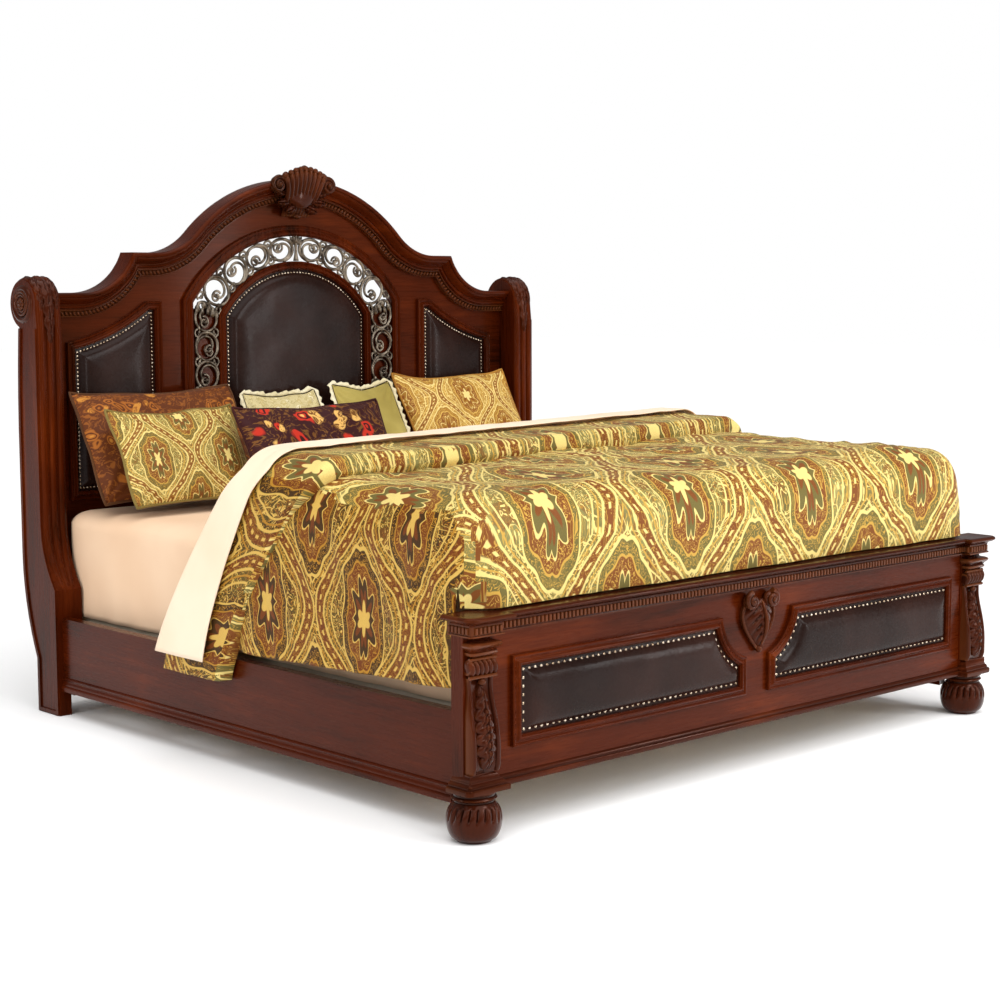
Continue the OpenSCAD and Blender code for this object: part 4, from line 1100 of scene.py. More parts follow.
def block(build, x0, x1, y, steps, back):
    """A moulded block on both posts: each (grow, z) of its steps is one rectangle."""
    for side in (-1, 1):
        rings = []
        for g, z in steps:
            xs = (side * (x0 - g), side * (x1 + g))
            r = 0.006
            rings.append([(xs[0], back, z), (xs[0], y - g + r, z), (xs[0] + side * r, y - g, z),
                (xs[1] - side * r, y - g, z), (xs[1], y - g + r, z), (xs[1], back, z)])
        build.loft(rings)


def capitals():
    """Moulded abacus and gadrooned roll at the top of each corner post."""
    build = Build()
    y = at_y(-0.043)
    steps = [(-0.010, 0.4595), (-0.006, 0.463), (0.000, 0.466), (0.003, 0.470), (0.003, 0.474),
        (0.000, 0.476), (0.002, 0.480), (0.006, 0.484), (0.010, 0.488), (0.012, 0.492), (0.010, 0.4965),
        (0.004, 0.499), (-0.004, 0.5005), (-0.010, 0.504), (-0.012, 0.510), (-0.010, 0.515)]
    block(build, CORNER_IN + 0.009, CORNER_OUT - 0.009, y, steps, CORNER_FACE + 0.001)
    for side in (-1, 1):
        for i in range(6):
            x = side * (CORNER_IN + 0.014 + i * 0.0145)
            build.copies(*blob(10, 14), [facing((x, at_y(-0.026), 0.435), (side * 0.25, -0.35, 1),
                (0, -1, 0), (0.0245, 0.0105, 0.020))])
        tube(build, [(side * (CORNER_IN + dx), at_y(-0.024), 0.435) for dx in (0.006, 0.094)], 0.016, 16,
            normal=(0, 0, 1))
        for z, r in ((0.457, 0.0035), (0.4125, 0.0035)):
            tube(build, [(side * (CORNER_IN + dx), at_y(-0.022) - 0.012, z) for dx in (0.006, 0.094)],
                r * 1.3, 10, normal=(0, 0, 1))
    return build.done("post_capitals_carved", CARVED, "dark_cherry", ["post_capitals"], angle=50)


CORBEL_TOP, CORBEL_FOOT = 0.411, 0.176


def corbel_front(t):
    return 0.004 + 0.024 * (0.5 - 0.5 * math.cos(math.pi * min(1, t * 1.3)))


def corbels():
    """Scrolled brackets down the corner posts: a reed at each edge and a leaf between."""
    build = Build()
    x0, x1 = CORNER_IN + 0.005, CORNER_OUT - 0.005
    middle = (x0 + x1) / 2
    across = np.linspace(-1, 1, 41)
    relief = np.where(np.abs(across) > 0.72,
        0.004 * np.sqrt(np.clip(1 - ((np.abs(across) - 0.86) / 0.14) ** 2, 0, 1)) + 0.002,
        -0.004 + 0.004 * np.abs(across))
    for side in (-1, 1):
        rings = []
        for t in np.linspace(0, 1, 30):
            z = CORBEL_TOP + (CORBEL_FOOT - CORBEL_TOP) * t
            fore = CORNER_FACE - corbel_front(t) * (1 if t < 0.93 else 1 - 3 * (t - 0.93))
            wide = 1 - 0.13 * math.exp(-((t - 0.15) / 0.2) ** 2)
            ring = [(side * (middle + a * (x1 - middle) * wide), fore - r, z)
                for a, r in zip(across, relief)]
            ring += [(side * (middle + (x1 - middle) * wide), CORNER_FACE + 0.002, z),
                (side * (middle - (x1 - middle) * wide), CORNER_FACE + 0.002, z)]
            rings.append(ring)
        build.loft(rings)
        for low, high, half, rise in ((0.186, 0.392, [0.014, 0.032, 0.034, 0.028, 0.020, 0.006], 0.015),
                                      (0.200, 0.340, [0.005, 0.015, 0.018, 0.014, 0.005], 0.021)):
            points = []
            for z in np.linspace(low, high, 21):
                t = (z - CORBEL_TOP) / (CORBEL_FOOT - CORBEL_TOP)
                points.append((side * middle, CORNER_FACE - corbel_front(t) - 0.001, z))
            leaf(build, points, (0, -1, 0), half, rise, 7, across=17, thick=0.004, vein=0.5)
        ball(build, (side * middle, CORNER_FACE - 0.012, 0.399), (0.011, 0.011, 0.010), 8, 12)
    return build.done("corbels_carved", CARVED, "dark_cherry", ["corbels"], angle=50)


capitals()
corbels()

GADROONS = 20


def bun_foot(side, word):
    """A turned bun foot whose belly is gadrooned."""
    build = Build()
    profile = [(0.042, 0.0), (0.044, 0.001), (0.045, 0.004)]
    for a in range(-66, 72, 6):
        r = 0.046 + 0.0238 * math.cos(math.radians(a))
        profile.append((r, 0.058 + (0.052 if a < 0 else 0.040) * math.sin(math.radians(a))))
    profile += [(0.054, 0.098), (0.050, 0.101), (0.050, 0.104), (0.055, 0.106), (0.058, 0.110),
        (0.056, 0.114), (0.052, 0.116), (0.052, 0.120), (0.058, 0.123), (0.058, 0.127)]
    sides = GADROONS * 8
    rings = []
    for r, z in profile:
        depth = 0.007 * min(1, max(0, (z - 0.052) / 0.012)) * min(1, max(0, (0.094 - z) / 0.008))
        ring = []
        for j in range(sides):
            lobe = abs(math.sin(math.pi * j / 8))
            k = r - depth * (1 - lobe ** 0.55)
            a = TAU * j / sides + 2.5 * (z - 0.06)
            ring.append((side * FOOT_X + k * math.cos(a), FOOT_Y + k * math.sin(a), z))
        rings.append(ring)
    build.loft(rings)
    return build.done(f"bun_foot_{word}_gadrooned", CARVED, "dark_cherry", [f"bun_foot_{word}"], angle=50)


bun_foot(-1, "left")
bun_foot(1, "right")


def cartouche():
    """A ridged shield between the panels, with slanting flutes, volutes and a ball."""
    build = Build()
    bottom, height, face = T - 0.219, 0.140, PANEL_FACE
    rows, cols = 40, 41
    rings = []
    for i in range(rows):
        t = 0.01 + 0.98 * i / (rows - 1)
        half = 0.064 * math.sin(math.pi * (1 - (1 - t) ** 0.6)) ** 0.85 + 0.002
        top = []
        for v in np.linspace(-1, 1, cols):
            slope = 1 - abs(v) ** 1.3
            flute = abs(math.sin(math.pi * (5.5 * t + 1.9 * abs(v)))) ** 0.6
            inner = 0.62 + 0.38 * flute if abs(v) > 0.12 else 1.0
            top.append((v * half, face
                - (0.008 + 0.030 * slope * inner * math.sin(math.pi * (0.15 + 0.7 * t))),
                bottom + height * t))
        rings.append(top + [(half, face, bottom + height * t), (-half, face, bottom + height * t)])
    build.loft(rings)
    for side in (-1, 1):
        volute = spiral(side * 0.043, bottom + height - 0.004, 0.024, 0.004, 1.7, 90, face - 0.024, -side,
            0.010)
        tube(build, volute, np.linspace(0.0085, 0.004, len(volute)), 10)
        ball(build, (side * 0.043, face - 0.014, bottom + height - 0.004), (0.023, 0.014, 0.023), 10, 16)
        ball(build, (side * 0.043, face - 0.032, bottom + height - 0.004), (0.007, 0.007, 0.007), 8, 12)
        edge = [(side * (0.062 * math.sin(math.pi * (1 - (1 - t) ** 0.6)) ** 0.85 + 0.004), face - 0.010,
            bottom + height * t) for t in np.linspace(0.02, 0.86, 26)]
        tube(build, edge, 0.0055, 8)
    ball(build, (0, face - 0.012, bottom - 0.002), (0.011, 0.012, 0.011), 10, 14)
    tube(build, [(0, face - 0.024 - 0.018 * math.sin(math.pi * t), bottom + height * (0.1 + 0.86 * t))
        for t in np.linspace(0, 1, 14)],
        [0.003 + 0.004 * math.sin(math.pi * t) for t in np.linspace(0, 1, 14)], 8)
    return build.done("footboard_cartouche_carved", CARVED, "dark_cherry", ["footboard_cartouche"],
        angle=50)


cartouche()

RAIL_OUT, RAIL_FLOOR = 1.040, 0.080
RAIL_PROFILE = [(-0.002, 0.0), (0.0095, 0.0), (0.010, 0.002), (0.010, 0.014), (0.0085, 0.017),
    (0.006, 0.0185), (0.006, 0.022), (0.0045, 0.027), (0.003, 0.031), (0.003, 0.034), (0.0045, 0.036),
    (0.0055, 0.039), (0.0045, 0.0425), (0.002, 0.044), (-0.002, 0.045)]


def rail_mouldings():
    build = Build()
    for side in (-1, 1):
        build.loft([[(side * (RAIL_OUT + d), y, RAIL_FLOOR + h) for d, h in RAIL_PROFILE]
                    for y in (at_y(0.074), at_y(1.938))])
        build.loft([[(side * (RAIL_OUT + d), y, RAIL_FLOOR + h) for d, h in RAIL_PROFILE if h > 0.040]
            for y in (at_y(0.026), at_y(0.074))])
    return build.done("rail_mouldings_run", WOOD_Y, "dark_cherry", ["rail_mouldings"], angle=30)


rail_mouldings()

SOFTENED = {"headboard_board": (WOOD_X, 0.0), "headboard_lower_rail": (WOOD_X, 0.003),
    "headboard_post_left": (WOOD_Z, 0.003), "headboard_post_right": (WOOD_Z, 0.003),
    "post_side_mouldings": (WOOD_Z, 0.002), "footboard_panel": (WOOD_X, 0.0015),
    "footboard_post_left": (WOOD_Z, 0.003), "footboard_post_right": (WOOD_Z, 0.003),
    "side_rail_left": (WOOD_Y, 0.003), "side_rail_right": (WOOD_Y, 0.003)}


def raw_pine(name, run):
    """Unfinished pine for the hidden parts."""
    g = Graph(name)
    point = g.object_point()
    grain = g.noise(g.scaled(point, GRAIN[run]), 1.5, 4, 0.6, 0.8)
    return g.set(Base_Color=g.mix(g.step(grain, 0.3, 0.7), (196, 156, 108), (222, 190, 145)),
        Roughness=0.65)


def plain_metal(name, colour, rough):
    g = Graph(name)
    spots = g.noise(g.object_point(), 90, 3)
    return g.set(Base_Color=g.mix(spots, tuple(c * 0.8 for c in colour), colour), Metallic=1.0,
        Roughness=g.step(spots, 0.2, 0.8) * 0.1 + rough)


def glide_plastic():
    g = Graph("glide_plastic")
    spots = g.noise(g.object_point(), 200, 2)
    return g.set(Base_Color=g.mix(spots, (38, 38, 40), (54, 54, 56)), Roughness=0.5)


PINE_X, PINE_Y, PINE_Z = [raw_pine(f"pine_along_{run}", run) for run in "xyz"]
STEEL = plain_metal("bracket_steel", (170, 170, 175), 0.35)
BRASS = plain_metal("insert_brass", (205, 170, 95), 0.3)
PLASTIC = glide_plastic()
SOFTENED.update({"rail_cleats": (PINE_Y, 0.002), "bed_slats": (PINE_X, 0.002),
    "support_legs": (PINE_Z, 0.002), "rail_hook_plates": (STEEL, 0.0), "post_slot_plates": (STEEL, 0.0),
    "wood_screws": (STEEL, 0.0), "leg_inserts": (BRASS, 0.0), "glide_front": (PLASTIC, 0.001),
    "glide_middle": (PLASTIC, 0.001), "glide_rear": (PLASTIC, 0.001)})
for node, (material, width) in SOFTENED.items():
    piece = bpy.data.objects[node]
    piece.data.materials.clear()
    piece.data.materials.append(material)
    if width:
        soften = piece.modifiers.new("soften", "BEVEL")
        soften.width, soften.segments = width, 3
        soften.limit_method, soften.angle_limit = "ANGLE", math.radians(40)
        soften.harden_normals = True


# ---------------------------------------------------------------- soft shapes
def rounded_box(low, high, radii, step):
    """Points and faces of a box whose edges are rounded, each way by its own radius."""
    low, high, radii = (np.array(v, float) for v in (low, high, radii))
    counts = [max(2, int(round((high[k] - low[k]) / step))) for k in range(3)]
    axes = [np.linspace(low[k], high[k], counts[k] + 1) for k in range(3)]
    verts, faces, seen = [], [], {}

    def vertex(i, j, k):
        key = (i, j, k)
        if key not in seen:
            seen[key] = len(verts)
            verts.append((axes[0][i], axes[1][j], axes[2][k]))
        return seen[key]

    for fixed in range(3):
        a, b = [k for k in range(3) if k != fixed]
        for end in (0, counts[fixed]):
            for p in range(counts[a]):
                for q in range(counts[b]):
                    quad = []
                    for dp, dq in ((0, 0), (1, 0), (1, 1), (0, 1)):
                        at = [0, 0, 0]
                        at[fixed], at[a], at[b] = end, p + dp, q + dq
                        quad.append(vertex(*at))
                    faces.append(tuple(quad))
    verts = np.array(verts)
    core = np.clip(verts, low + radii, high - radii)
    way = (verts - core) / radii
    length = np.maximum(np.linalg.norm(way, axis=1), 1e-9)[:, None]
    outer = np.maximum(np.abs(way).max(1), 1e-9)[:, None]
    return core + way / length * np.minimum(outer, 1.0) * radii, faces


def normals_of(verts, faces):
    """The outward normal at each point."""
    mesh = bpy.data.meshes.new("scratch")
    mesh.from_pydata(verts.tolist(), [], faces)
    tool = bmesh.new()
    tool.from_mesh(mesh)
    bmesh.ops.recalc_face_normals(tool, faces=tool.faces)
    tool.normal_update()
    out = np.array([tuple(v.normal) for v in tool.verts])
    tool.free()
    bpy.data.meshes.remove(mesh)
    return out


def ripple(points, scale, seed, stretch=(1, 1, 1)):
    """Soft noise between about -1 and 1 at each point."""
    at = points * np.array(stretch) * scale
    return np.array([noise.noise(Vector((x + seed, y - seed, z + 0.37 * seed))) for x, y, z in at])


def creased(points, scale, seed, stretch=(1, 1, 1)):
    """Narrow folds: ridges of the noise, between 0 and 1."""
    return (1 - np.abs(ripple(points, scale, seed, stretch)) * 2.2).clip(0, 1) ** 2


def cut(piece, low, high):
    """Takes a box out of a soft piece, to leave room for what it lies on."""
    mesh = bpy.data.meshes.new("room")
    (x0, y0, z0), (x1, y1, z1) = low, high
    verts = [(x, y, z) for x in (x0, x1) for y in (y0, y1) for z in (z0, z1)]
    mesh.from_pydata(verts, [], [(0, 1, 3, 2), (4, 6, 7, 5), (0, 4, 5, 1), (2, 3, 7, 6), (0, 2, 6, 4),
        (1, 5, 7, 3)])
    room = bpy.data.objects.new("room", mesh)
    bpy.context.collection.objects.link(room)
    hole = piece.modifiers.new("room", "BOOLEAN")
    hole.operation, hole.object, hole.solver = "DIFFERENCE", room, "EXACT"
    graph = bpy.context.evaluated_depsgraph_get()
    made = bpy.data.meshes.new_from_object(piece.evaluated_get(graph))
    piece.modifiers.clear()
    old = piece.data
    piece.data = made
    bpy.data.meshes.remove(old)
    bpy.data.objects.remove(room)
    bpy.data.meshes.remove(mesh)


def lay_cloth(piece, where):
    """Writes the layer of cloth coordinates: where(centre, normal, points) for each face."""
    mesh = piece.data
    layer = mesh.uv_layers.new(name="cloth")
    for face in mesh.polygons:
        points = np.array([tuple(mesh.vertices[i].co) for i in face.vertices])
        flat = where(face.center, face.normal, points)
        for loop, uv in zip(face.loop_indices, flat):
            layer.data[loop].uv = uv


def soft(name, verts, faces, material, slot, replaces, body=BED):
    """A soft piece from its points and faces."""
    mesh = bpy.data.meshes.new(name)
    mesh.from_pydata(np.asarray(verts).tolist(), [], faces)
    tool = bmesh.new()
    tool.from_mesh(mesh)
    bmesh.ops.recalc_face_normals(tool, faces=tool.faces)
    tool.to_mesh(mesh)
    tool.free()
    return finish_piece(name, mesh, material, replaces, 0, body)


# ---------------------------------------------------------------- fabric
SAGE, GOLD, RUST, CREAM = (140, 132, 78), (206, 162, 70), (128, 72, 28), (240, 214, 130)


def jacquard(name, ground, shade, line, accent, pale, filigree=1.0, dark=0.0):
    """A woven ogee pattern: a gold lattice, a medallion in each cell and fine scrolls."""
    g = Graph(name)
    point = g.cloth_point()
    wobble = g.noise(point, 3.0, 2, 0.5, 0.0, colour=True)
    wx, wy, _ = g.parts(wobble)
    u, v, _ = g.parts(point)
    u = u + (wx - 0.5) * 0.08
    v = v + (wy - 0.5) * 0.08
    across = g.math("ABSOLUTE", g.math("FRACT", u) - 0.5)
    down = g.math("ABSOLUTE", g.math("FRACT", v) - 0.5)
    edge = across - (g.math("COSINE", down * TAU) * 0.19 + 0.25)
    other = g.math("GREATER_THAN", edge, 0.0)
    a, b = across - other * 0.5, down - other * 0.5
    edge = g.math("ABSOLUTE", edge)

    def contour(scale, count, width, bend):
        """Thin lines that follow the level curves of a noise."""
        level = g.math("FRACT", g.noise(point, scale, 2, 0.5, bend) * count)
        return g.step(g.math("ABSOLUTE", level - 0.5), width, width * 0.5)

    fine = contour(24.0, 6.0, 0.15, 1.2)
    broad = contour(10.0, 6.0, 0.13, 1.6)
    spots = g.cells(point, 26.0, "F1")
    weave = g.noise(g.scaled(point, (160, 420, 1)), 1.0, 2)
    colour = g.mix(g.step(g.noise(point, 4.0, 2), 0.35, 0.65), ground, shade)
    colour = g.mix(g.step(spots, 0.30, 0.22) * 0.75, colour, accent)
    colour = g.mix(fine * 0.9 * filigree, colour, line)
    colour = g.mix(g.step(g.noise(point, 9.0, 2), 0.56, 0.60) * 0.55, colour, accent)
    colour = g.mix(broad * filigree, colour, pale)
    inner = g.math("SQRT", a * a * 15.0 + b * b * 6.5)
    angle = g.math("ARCTAN2", b, a * 1.6)
    petals = g.math("SINE", angle * 8.0)
    medal = inner + petals * 0.035
    colour = g.mix(g.step(medal, 0.84, 0.81), colour, shade)
    colour = g.mix(g.step(medal, 0.80, 0.77) * fine, colour, line)
    colour = g.mix(g.near(medal, 0.83, 0.030), colour, pale)
    colour = g.mix(g.step(medal, 0.66, 0.63), colour, accent)
    colour = g.mix(g.step(medal, 0.63, 0.60) * fine, colour, line)
    colour = g.mix(g.near(medal, 0.65, 0.022), colour, line)
    colour = g.mix(g.step(inner + petals * 0.10, 0.43, 0.40), colour, shade)
    colour = g.mix(g.near(inner + petals * 0.10, 0.42, 0.022), colour, pale)
    colour = g.mix(g.step(inner + petals * 0.12, 0.27, 0.23), colour, accent)
    colour = g.mix(g.step(inner + g.math("SINE", angle * 5.0) * 0.06, 0.19, 0.16), colour, pale)
    band = g.near(edge, 0.0, 0.040, 0.25)
    dots = g.step(g.math("SINE", v * 120.0), -0.1, 0.3)
    colour = g.mix(band, colour, accent)
    colour = g.mix(band * fine * 0.8, colour, line)
    colour = g.mix(g.near(edge, 0.0, 0.012) * dots, colour, pale)
    for at, wide, tone in ((0.048, 0.011, pale), (0.084, 0.007, line), (0.118, 0.008, pale)):
        colour = g.mix(g.near(edge, at, wide), colour, tone)
    # the weave darkens the cloth a little; dark adds painted shade over the whole cloth, for the
    # comforter's shaded sides
    colour = g.mix(g.step(weave, 0.2, 0.8) * 0.22 + dark, colour, tuple(c * 0.3 for c in shade))
    g.bump(weave * 0.4 + fine * 0.5, 0.4, 0.0015)
    return g.set(Base_Color=colour, Roughness=0.5, Specular_IOR_Level=0.15, Sheen_Weight=0.04,
        Sheen_Roughness=0.4)


def plain_cloth(name, light, shade, scale=5.0, rough=0.8, thread=900):
    """A plain woven cloth with a slow change of tone."""
    g = Graph(name)
    point = g.object_point()
    cloud = g.noise(point, scale, 3)
    weave = g.noise(g.scaled(point, (thread, thread, thread * 0.4)), 1.0, 2)
    g.bump(weave, 0.12, 0.0008)
    return g.set(Base_Color=g.mix(g.step(cloud, 0.3, 0.75), shade, light), Roughness=rough,
        Specular_IOR_Level=0.2, Sheen_Weight=0.05, Sheen_Roughness=0.5)


def blossom_cloth(name, ground, petal, leaf_tone, pale, scale=9.0):
    """A dark ground scattered with blossoms and leaves."""
    g = Graph(name)
    point = g.cloth_point()
    bent = g.noise(point, 3.0, 3, 0.5, 0.0, colour=True)
    bx, by, _ = g.parts(bent)
    px, py, _ = g.parts(point)
    at = g.joined(px + bx * 0.35, py + by * 0.35)
    near_ = g.cells(at, scale, "F1")
    tone = g.parts(g.cells(at, scale, "F1", "Color"))[0]
    veins = g.noise(at, scale * 3, 3, 0.6, 1.5)
    colour = g.mix(g.step(veins, 0.52, 0.6), ground, leaf_tone)
    flower = g.step(near_, 0.42, 0.34) * g.step(tone, 0.42, 0.46)
    colour = g.mix(flower, colour, petal)
    colour = g.mix(flower * g.near(near_, 0.24, 0.05), colour, ground)
    colour = g.mix(g.step(near_, 0.16, 0.10) * g.step(tone, 0.42, 0.46), colour, pale)
    leaves = g.step(near_, 0.40, 0.33) * g.step(tone, 0.30, 0.26)
    colour = g.mix(leaves, colour, pale)
    colour = g.mix(leaves * g.step(veins, 0.5, 0.56), colour, leaf_tone)
    g.bump(veins, 0.3, 0.0015)
    return g.set(Base_Color=colour, Roughness=0.6, Specular_IOR_Level=0.15, Sheen_Weight=0.05,
        Sheen_Roughness=0.5)


TOP_CLOTH = jacquard("comforter_top", SAGE, (112, 100, 50), GOLD, RUST, CREAM)
# painted shade: the comforter's sides, away from the light, get a darker and browner copy of the top cloth
SHADED_SIDE_CLOTH = jacquard("comforter_side_painted_shade", (96, 76, 24), (70, 44, 12), (186, 132, 40), (116, 58, 14),
    (222, 180, 88), dark=0.04)
PILLOW_SAGE = jacquard("pillow_sage", (138, 126, 66), (112, 96, 46), GOLD, (132, 78, 32), CREAM)
PILLOW_GOLD = jacquard("pillow_gold", (186, 140, 56), (166, 116, 40), (226, 184, 92), (140, 82, 28),
    (244, 216, 136))
PILLOW_BROWN = blossom_cloth("pillow_brown", (92, 44, 12), (160, 92, 30), (136, 76, 24), (190, 126, 48),
    8.0)
PILLOW_FLORAL = blossom_cloth("pillow_floral", (52, 12, 12), (190, 44, 24), (112, 70, 26), (226, 176, 96),
    7.0)
PILLOW_OLIVE = plain_cloth("pillow_olive", (176, 158, 84), (150, 132, 62))
PILLOW_CREAM = blossom_cloth("pillow_cream", (206, 190, 140), (190, 170, 112), (178, 160, 106),
    (236, 224, 186), 9.0)
FRINGE = plain_cloth("cream_fringe", (238, 228, 196), (214, 200, 158))
BRAID = plain_cloth("dark_braid", (92, 54, 22), (66, 36, 14))
SAGE_CORD = plain_cloth("sage_cord", (132, 112, 56), (112, 92, 42))
GOLD_CORD = plain_cloth("gold_cord", (176, 124, 46), (150, 100, 34))
RED_CORD = plain_cloth("red_cord", (64, 18, 14), (48, 12, 10))
FITTED = plain_cloth("fitted_sheet", (240, 208, 176), (230, 194, 160), 2.5)
WHITE_SHEET = plain_cloth("top_sheet", (250, 228, 202), (242, 214, 184), 2.5)
TICKING = plain_cloth("mattress_ticking", (232, 226, 214), (218, 210, 196))
BASE_CLOTH = plain_cloth("foundation_cloth", (204, 192, 172), (186, 172, 150))


# ---------------------------------------------------------------- bedding
MATTRESS_TOP = 0.645
ROOM_X, ROOM_TOP = 1.047, MATTRESS_TOP + 0.006
MATTRESS_Y0, MATTRESS_Y1 = at_y(0.048), at_y(2.078)
# The comforter's half width and top, the same for its turned-back end, and for the sheet over that.
COVER_HALF, COVER_TOP = 1.070, 0.856
FLAP_HALF, FLAP_TOP, FLAP_HEM = 1.092, 0.902, 0.252
TURN_HALF, TURN_TOP, TURN_BEND, TURN_HEM, TURN_END = 1.1035, 0.9145, 0.1365, 0.302, 1.325
HEM_Z, HEM_RISE = 0.344, 0.028
# faces turned further sideways than SIDE_FACING take the darker side cloth, as painted shade
SIDE_FACING = 0.80


def unrolled(x, z, half, top, bend):
    """How far a point of the cover is from the middle line, measured over its shoulder."""
    flat_run = half - bend
    out = np.abs(x)
    over = np.clip(out - flat_run, 0, None)
    drop = np.clip(top - bend - z, 0, None)
    turn = np.arctan2(over, np.clip(z - (top - bend), 1e-6, None))
    return np.sign(x) * (np.minimum(out, flat_run) + np.where(over > 0, bend * turn, 0) + drop)


def comforter_body():
    """The comforter: a puffed block over the mattress, with hanging sides and a rounded front."""
    half, top = COVER_HALF, COVER_TOP
    verts, faces = rounded_box((-half, at_y(-0.012), 0.20), (half, at_y(1.02), top), (0.12, 0.13, 0.13),
        0.017)
    way = normals_of(verts, faces)
    z = verts[:, 2]
    side = (np.abs(way[:, 0]) > 0.5).astype(float)
    low = np.clip((0.80 - z) / 0.4, 0, 1)
    puff = (0.010 * ripple(verts, 3.2, 1.0) + 0.006 * ripple(verts, 8.0, 2.0)
        + 0.004 * ripple(verts, 17.0, 3.0))
    puff += 0.007 * (creased(verts, 4.0, 5.0, (1.0, 2.2, 0.8)) - 0.3)
    folds = 0.009 * ripple(verts, 5.0, 7.0, (1, 1.5, 0.25)) * low * side
    sag = -0.014 * np.clip(way[:, 2], 0, 1) * (0.5 + 0.5 * ripple(verts, 1.3, 9.0))
    moved = verts + way * (puff + folds + sag - 0.004)[:, None]
    moved[:, 0] = np.clip(moved[:, 0], -1.078, 1.078)
    piece = soft("comforter_body", moved, faces, [TOP_CLOTH, SHADED_SIDE_CLOTH], "comforter_jacquard",
        ["comforter"])
    far = at_y(5)
    cut(piece, (-2, at_y(-1), -1), (2, far, HEM_Z))
    cut(piece, (-2.1, at_y(-1.1), -1.1), (2.1, at_y(0.055), 0.570))
    cut(piece, (-ROOM_X, at_y(0.047), -1.2), (ROOM_X, far, ROOM_TOP))
    for point in piece.data.vertices:
        low = min(1, max(0, (0.50 - point.co.z) / (0.50 - HEM_Z)))
        ahead = min(1, max(0, 1 - (point.co.y - at_y(0)) / 0.84))
        point.co.z += HEM_RISE * low * ahead * (abs(point.co.x) > ROOM_X - 0.001)

    def outer(centre, normal):
        return abs(centre.x) > half - 0.085 and centre.z < top - 0.03 and abs(normal.x) > SIDE_FACING

    def where(centre, normal, points):
        px, py, pz = points.T
        if outer(centre, normal):
            return np.stack([(py - at_y(0)) / 0.40, pz / 0.56 + 0.1], 1)
        a = unrolled(px, pz, half, top, 0.12) if abs(normal.y) < 0.75 else px
        front = np.clip(at_y(0.118) - py, 0, None)
        down = np.clip(top - 0.13 - pz, 0, None) * (abs(normal.x) < 0.6)
        return np.stack([a / 0.52 + 0.5, (py - at_y(0) - front * 0.5 - down) / 0.62], 1)

    lay_cloth(piece, where)
    # painted shade: faces turned to the sides take the darker side cloth
    for face in piece.data.polygons:
        face.material_index = 1 if outer(face.center, face.normal) else 0


FOLD_LOW, FOLD_HIGH = 0.25, 0.86


def fold_shift(verts):
    """The turned-back end lies askew: the higher and the further left, the further down the bed."""
    x, z = verts[:, 0], verts[:, 2]
    height = np.clip((z - FOLD_LOW) / (FOLD_HIGH - FOLD_LOW), 0, 1) ** 1.3
    across = np.clip((x + 1.0) / 2.0, 0, 1)
    return -(0.43 - 0.36 * across) * height


def comforter_flap():
    """Its end, turned back in a thick fold that lies askew."""
    half, top = FLAP_HALF, FLAP_TOP
    verts, faces = rounded_box((-half, at_y(1.00), 0.10), (half, at_y(1.322), top), (0.125, 0.028, 0.125),
        0.016)
    way = normals_of(verts, faces)
    puff = 0.006 * ripple(verts, 4.0, 21.0) + 0.004 * ripple(verts, 12.0, 22.0)
    moved = verts + way * (puff - 0.002)[:, None]
    moved[:, 1] += fold_shift(moved)
    moved[:, 1] = np.clip(moved[:, 1], at_y(0.545), at_y(1.328))
    piece = soft("comforter_flap", moved, faces, [TOP_CLOTH, SHADED_SIDE_CLOTH], "comforter_jacquard",
        ["comforter"])
    far = at_y(5)
    cut(piece, (-2.1, at_y(-1.1), -1.1), (2.1, far, FLAP_HEM))
    cut(piece, (-ROOM_X, at_y(-1), -1.2), (ROOM_X, far, ROOM_TOP))

    def where(centre, normal, points):
        px, py, pz = points.T
        a = unrolled(px, pz, half, top, 0.125)
        under = (top - pz) * (abs(normal.y) > 0.5)
        return np.stack([a / 0.52, (py - fold_shift(points) - at_y(0) + under) / 0.62 + 0.3], 1)

    lay_cloth(piece, where)
    # painted shade: faces turned to the sides take the darker side cloth
    for face in piece.data.polygons:
        face.material_index = 1 if abs(face.normal.x) > SIDE_FACING and face.center.z < top - 0.06 else 0


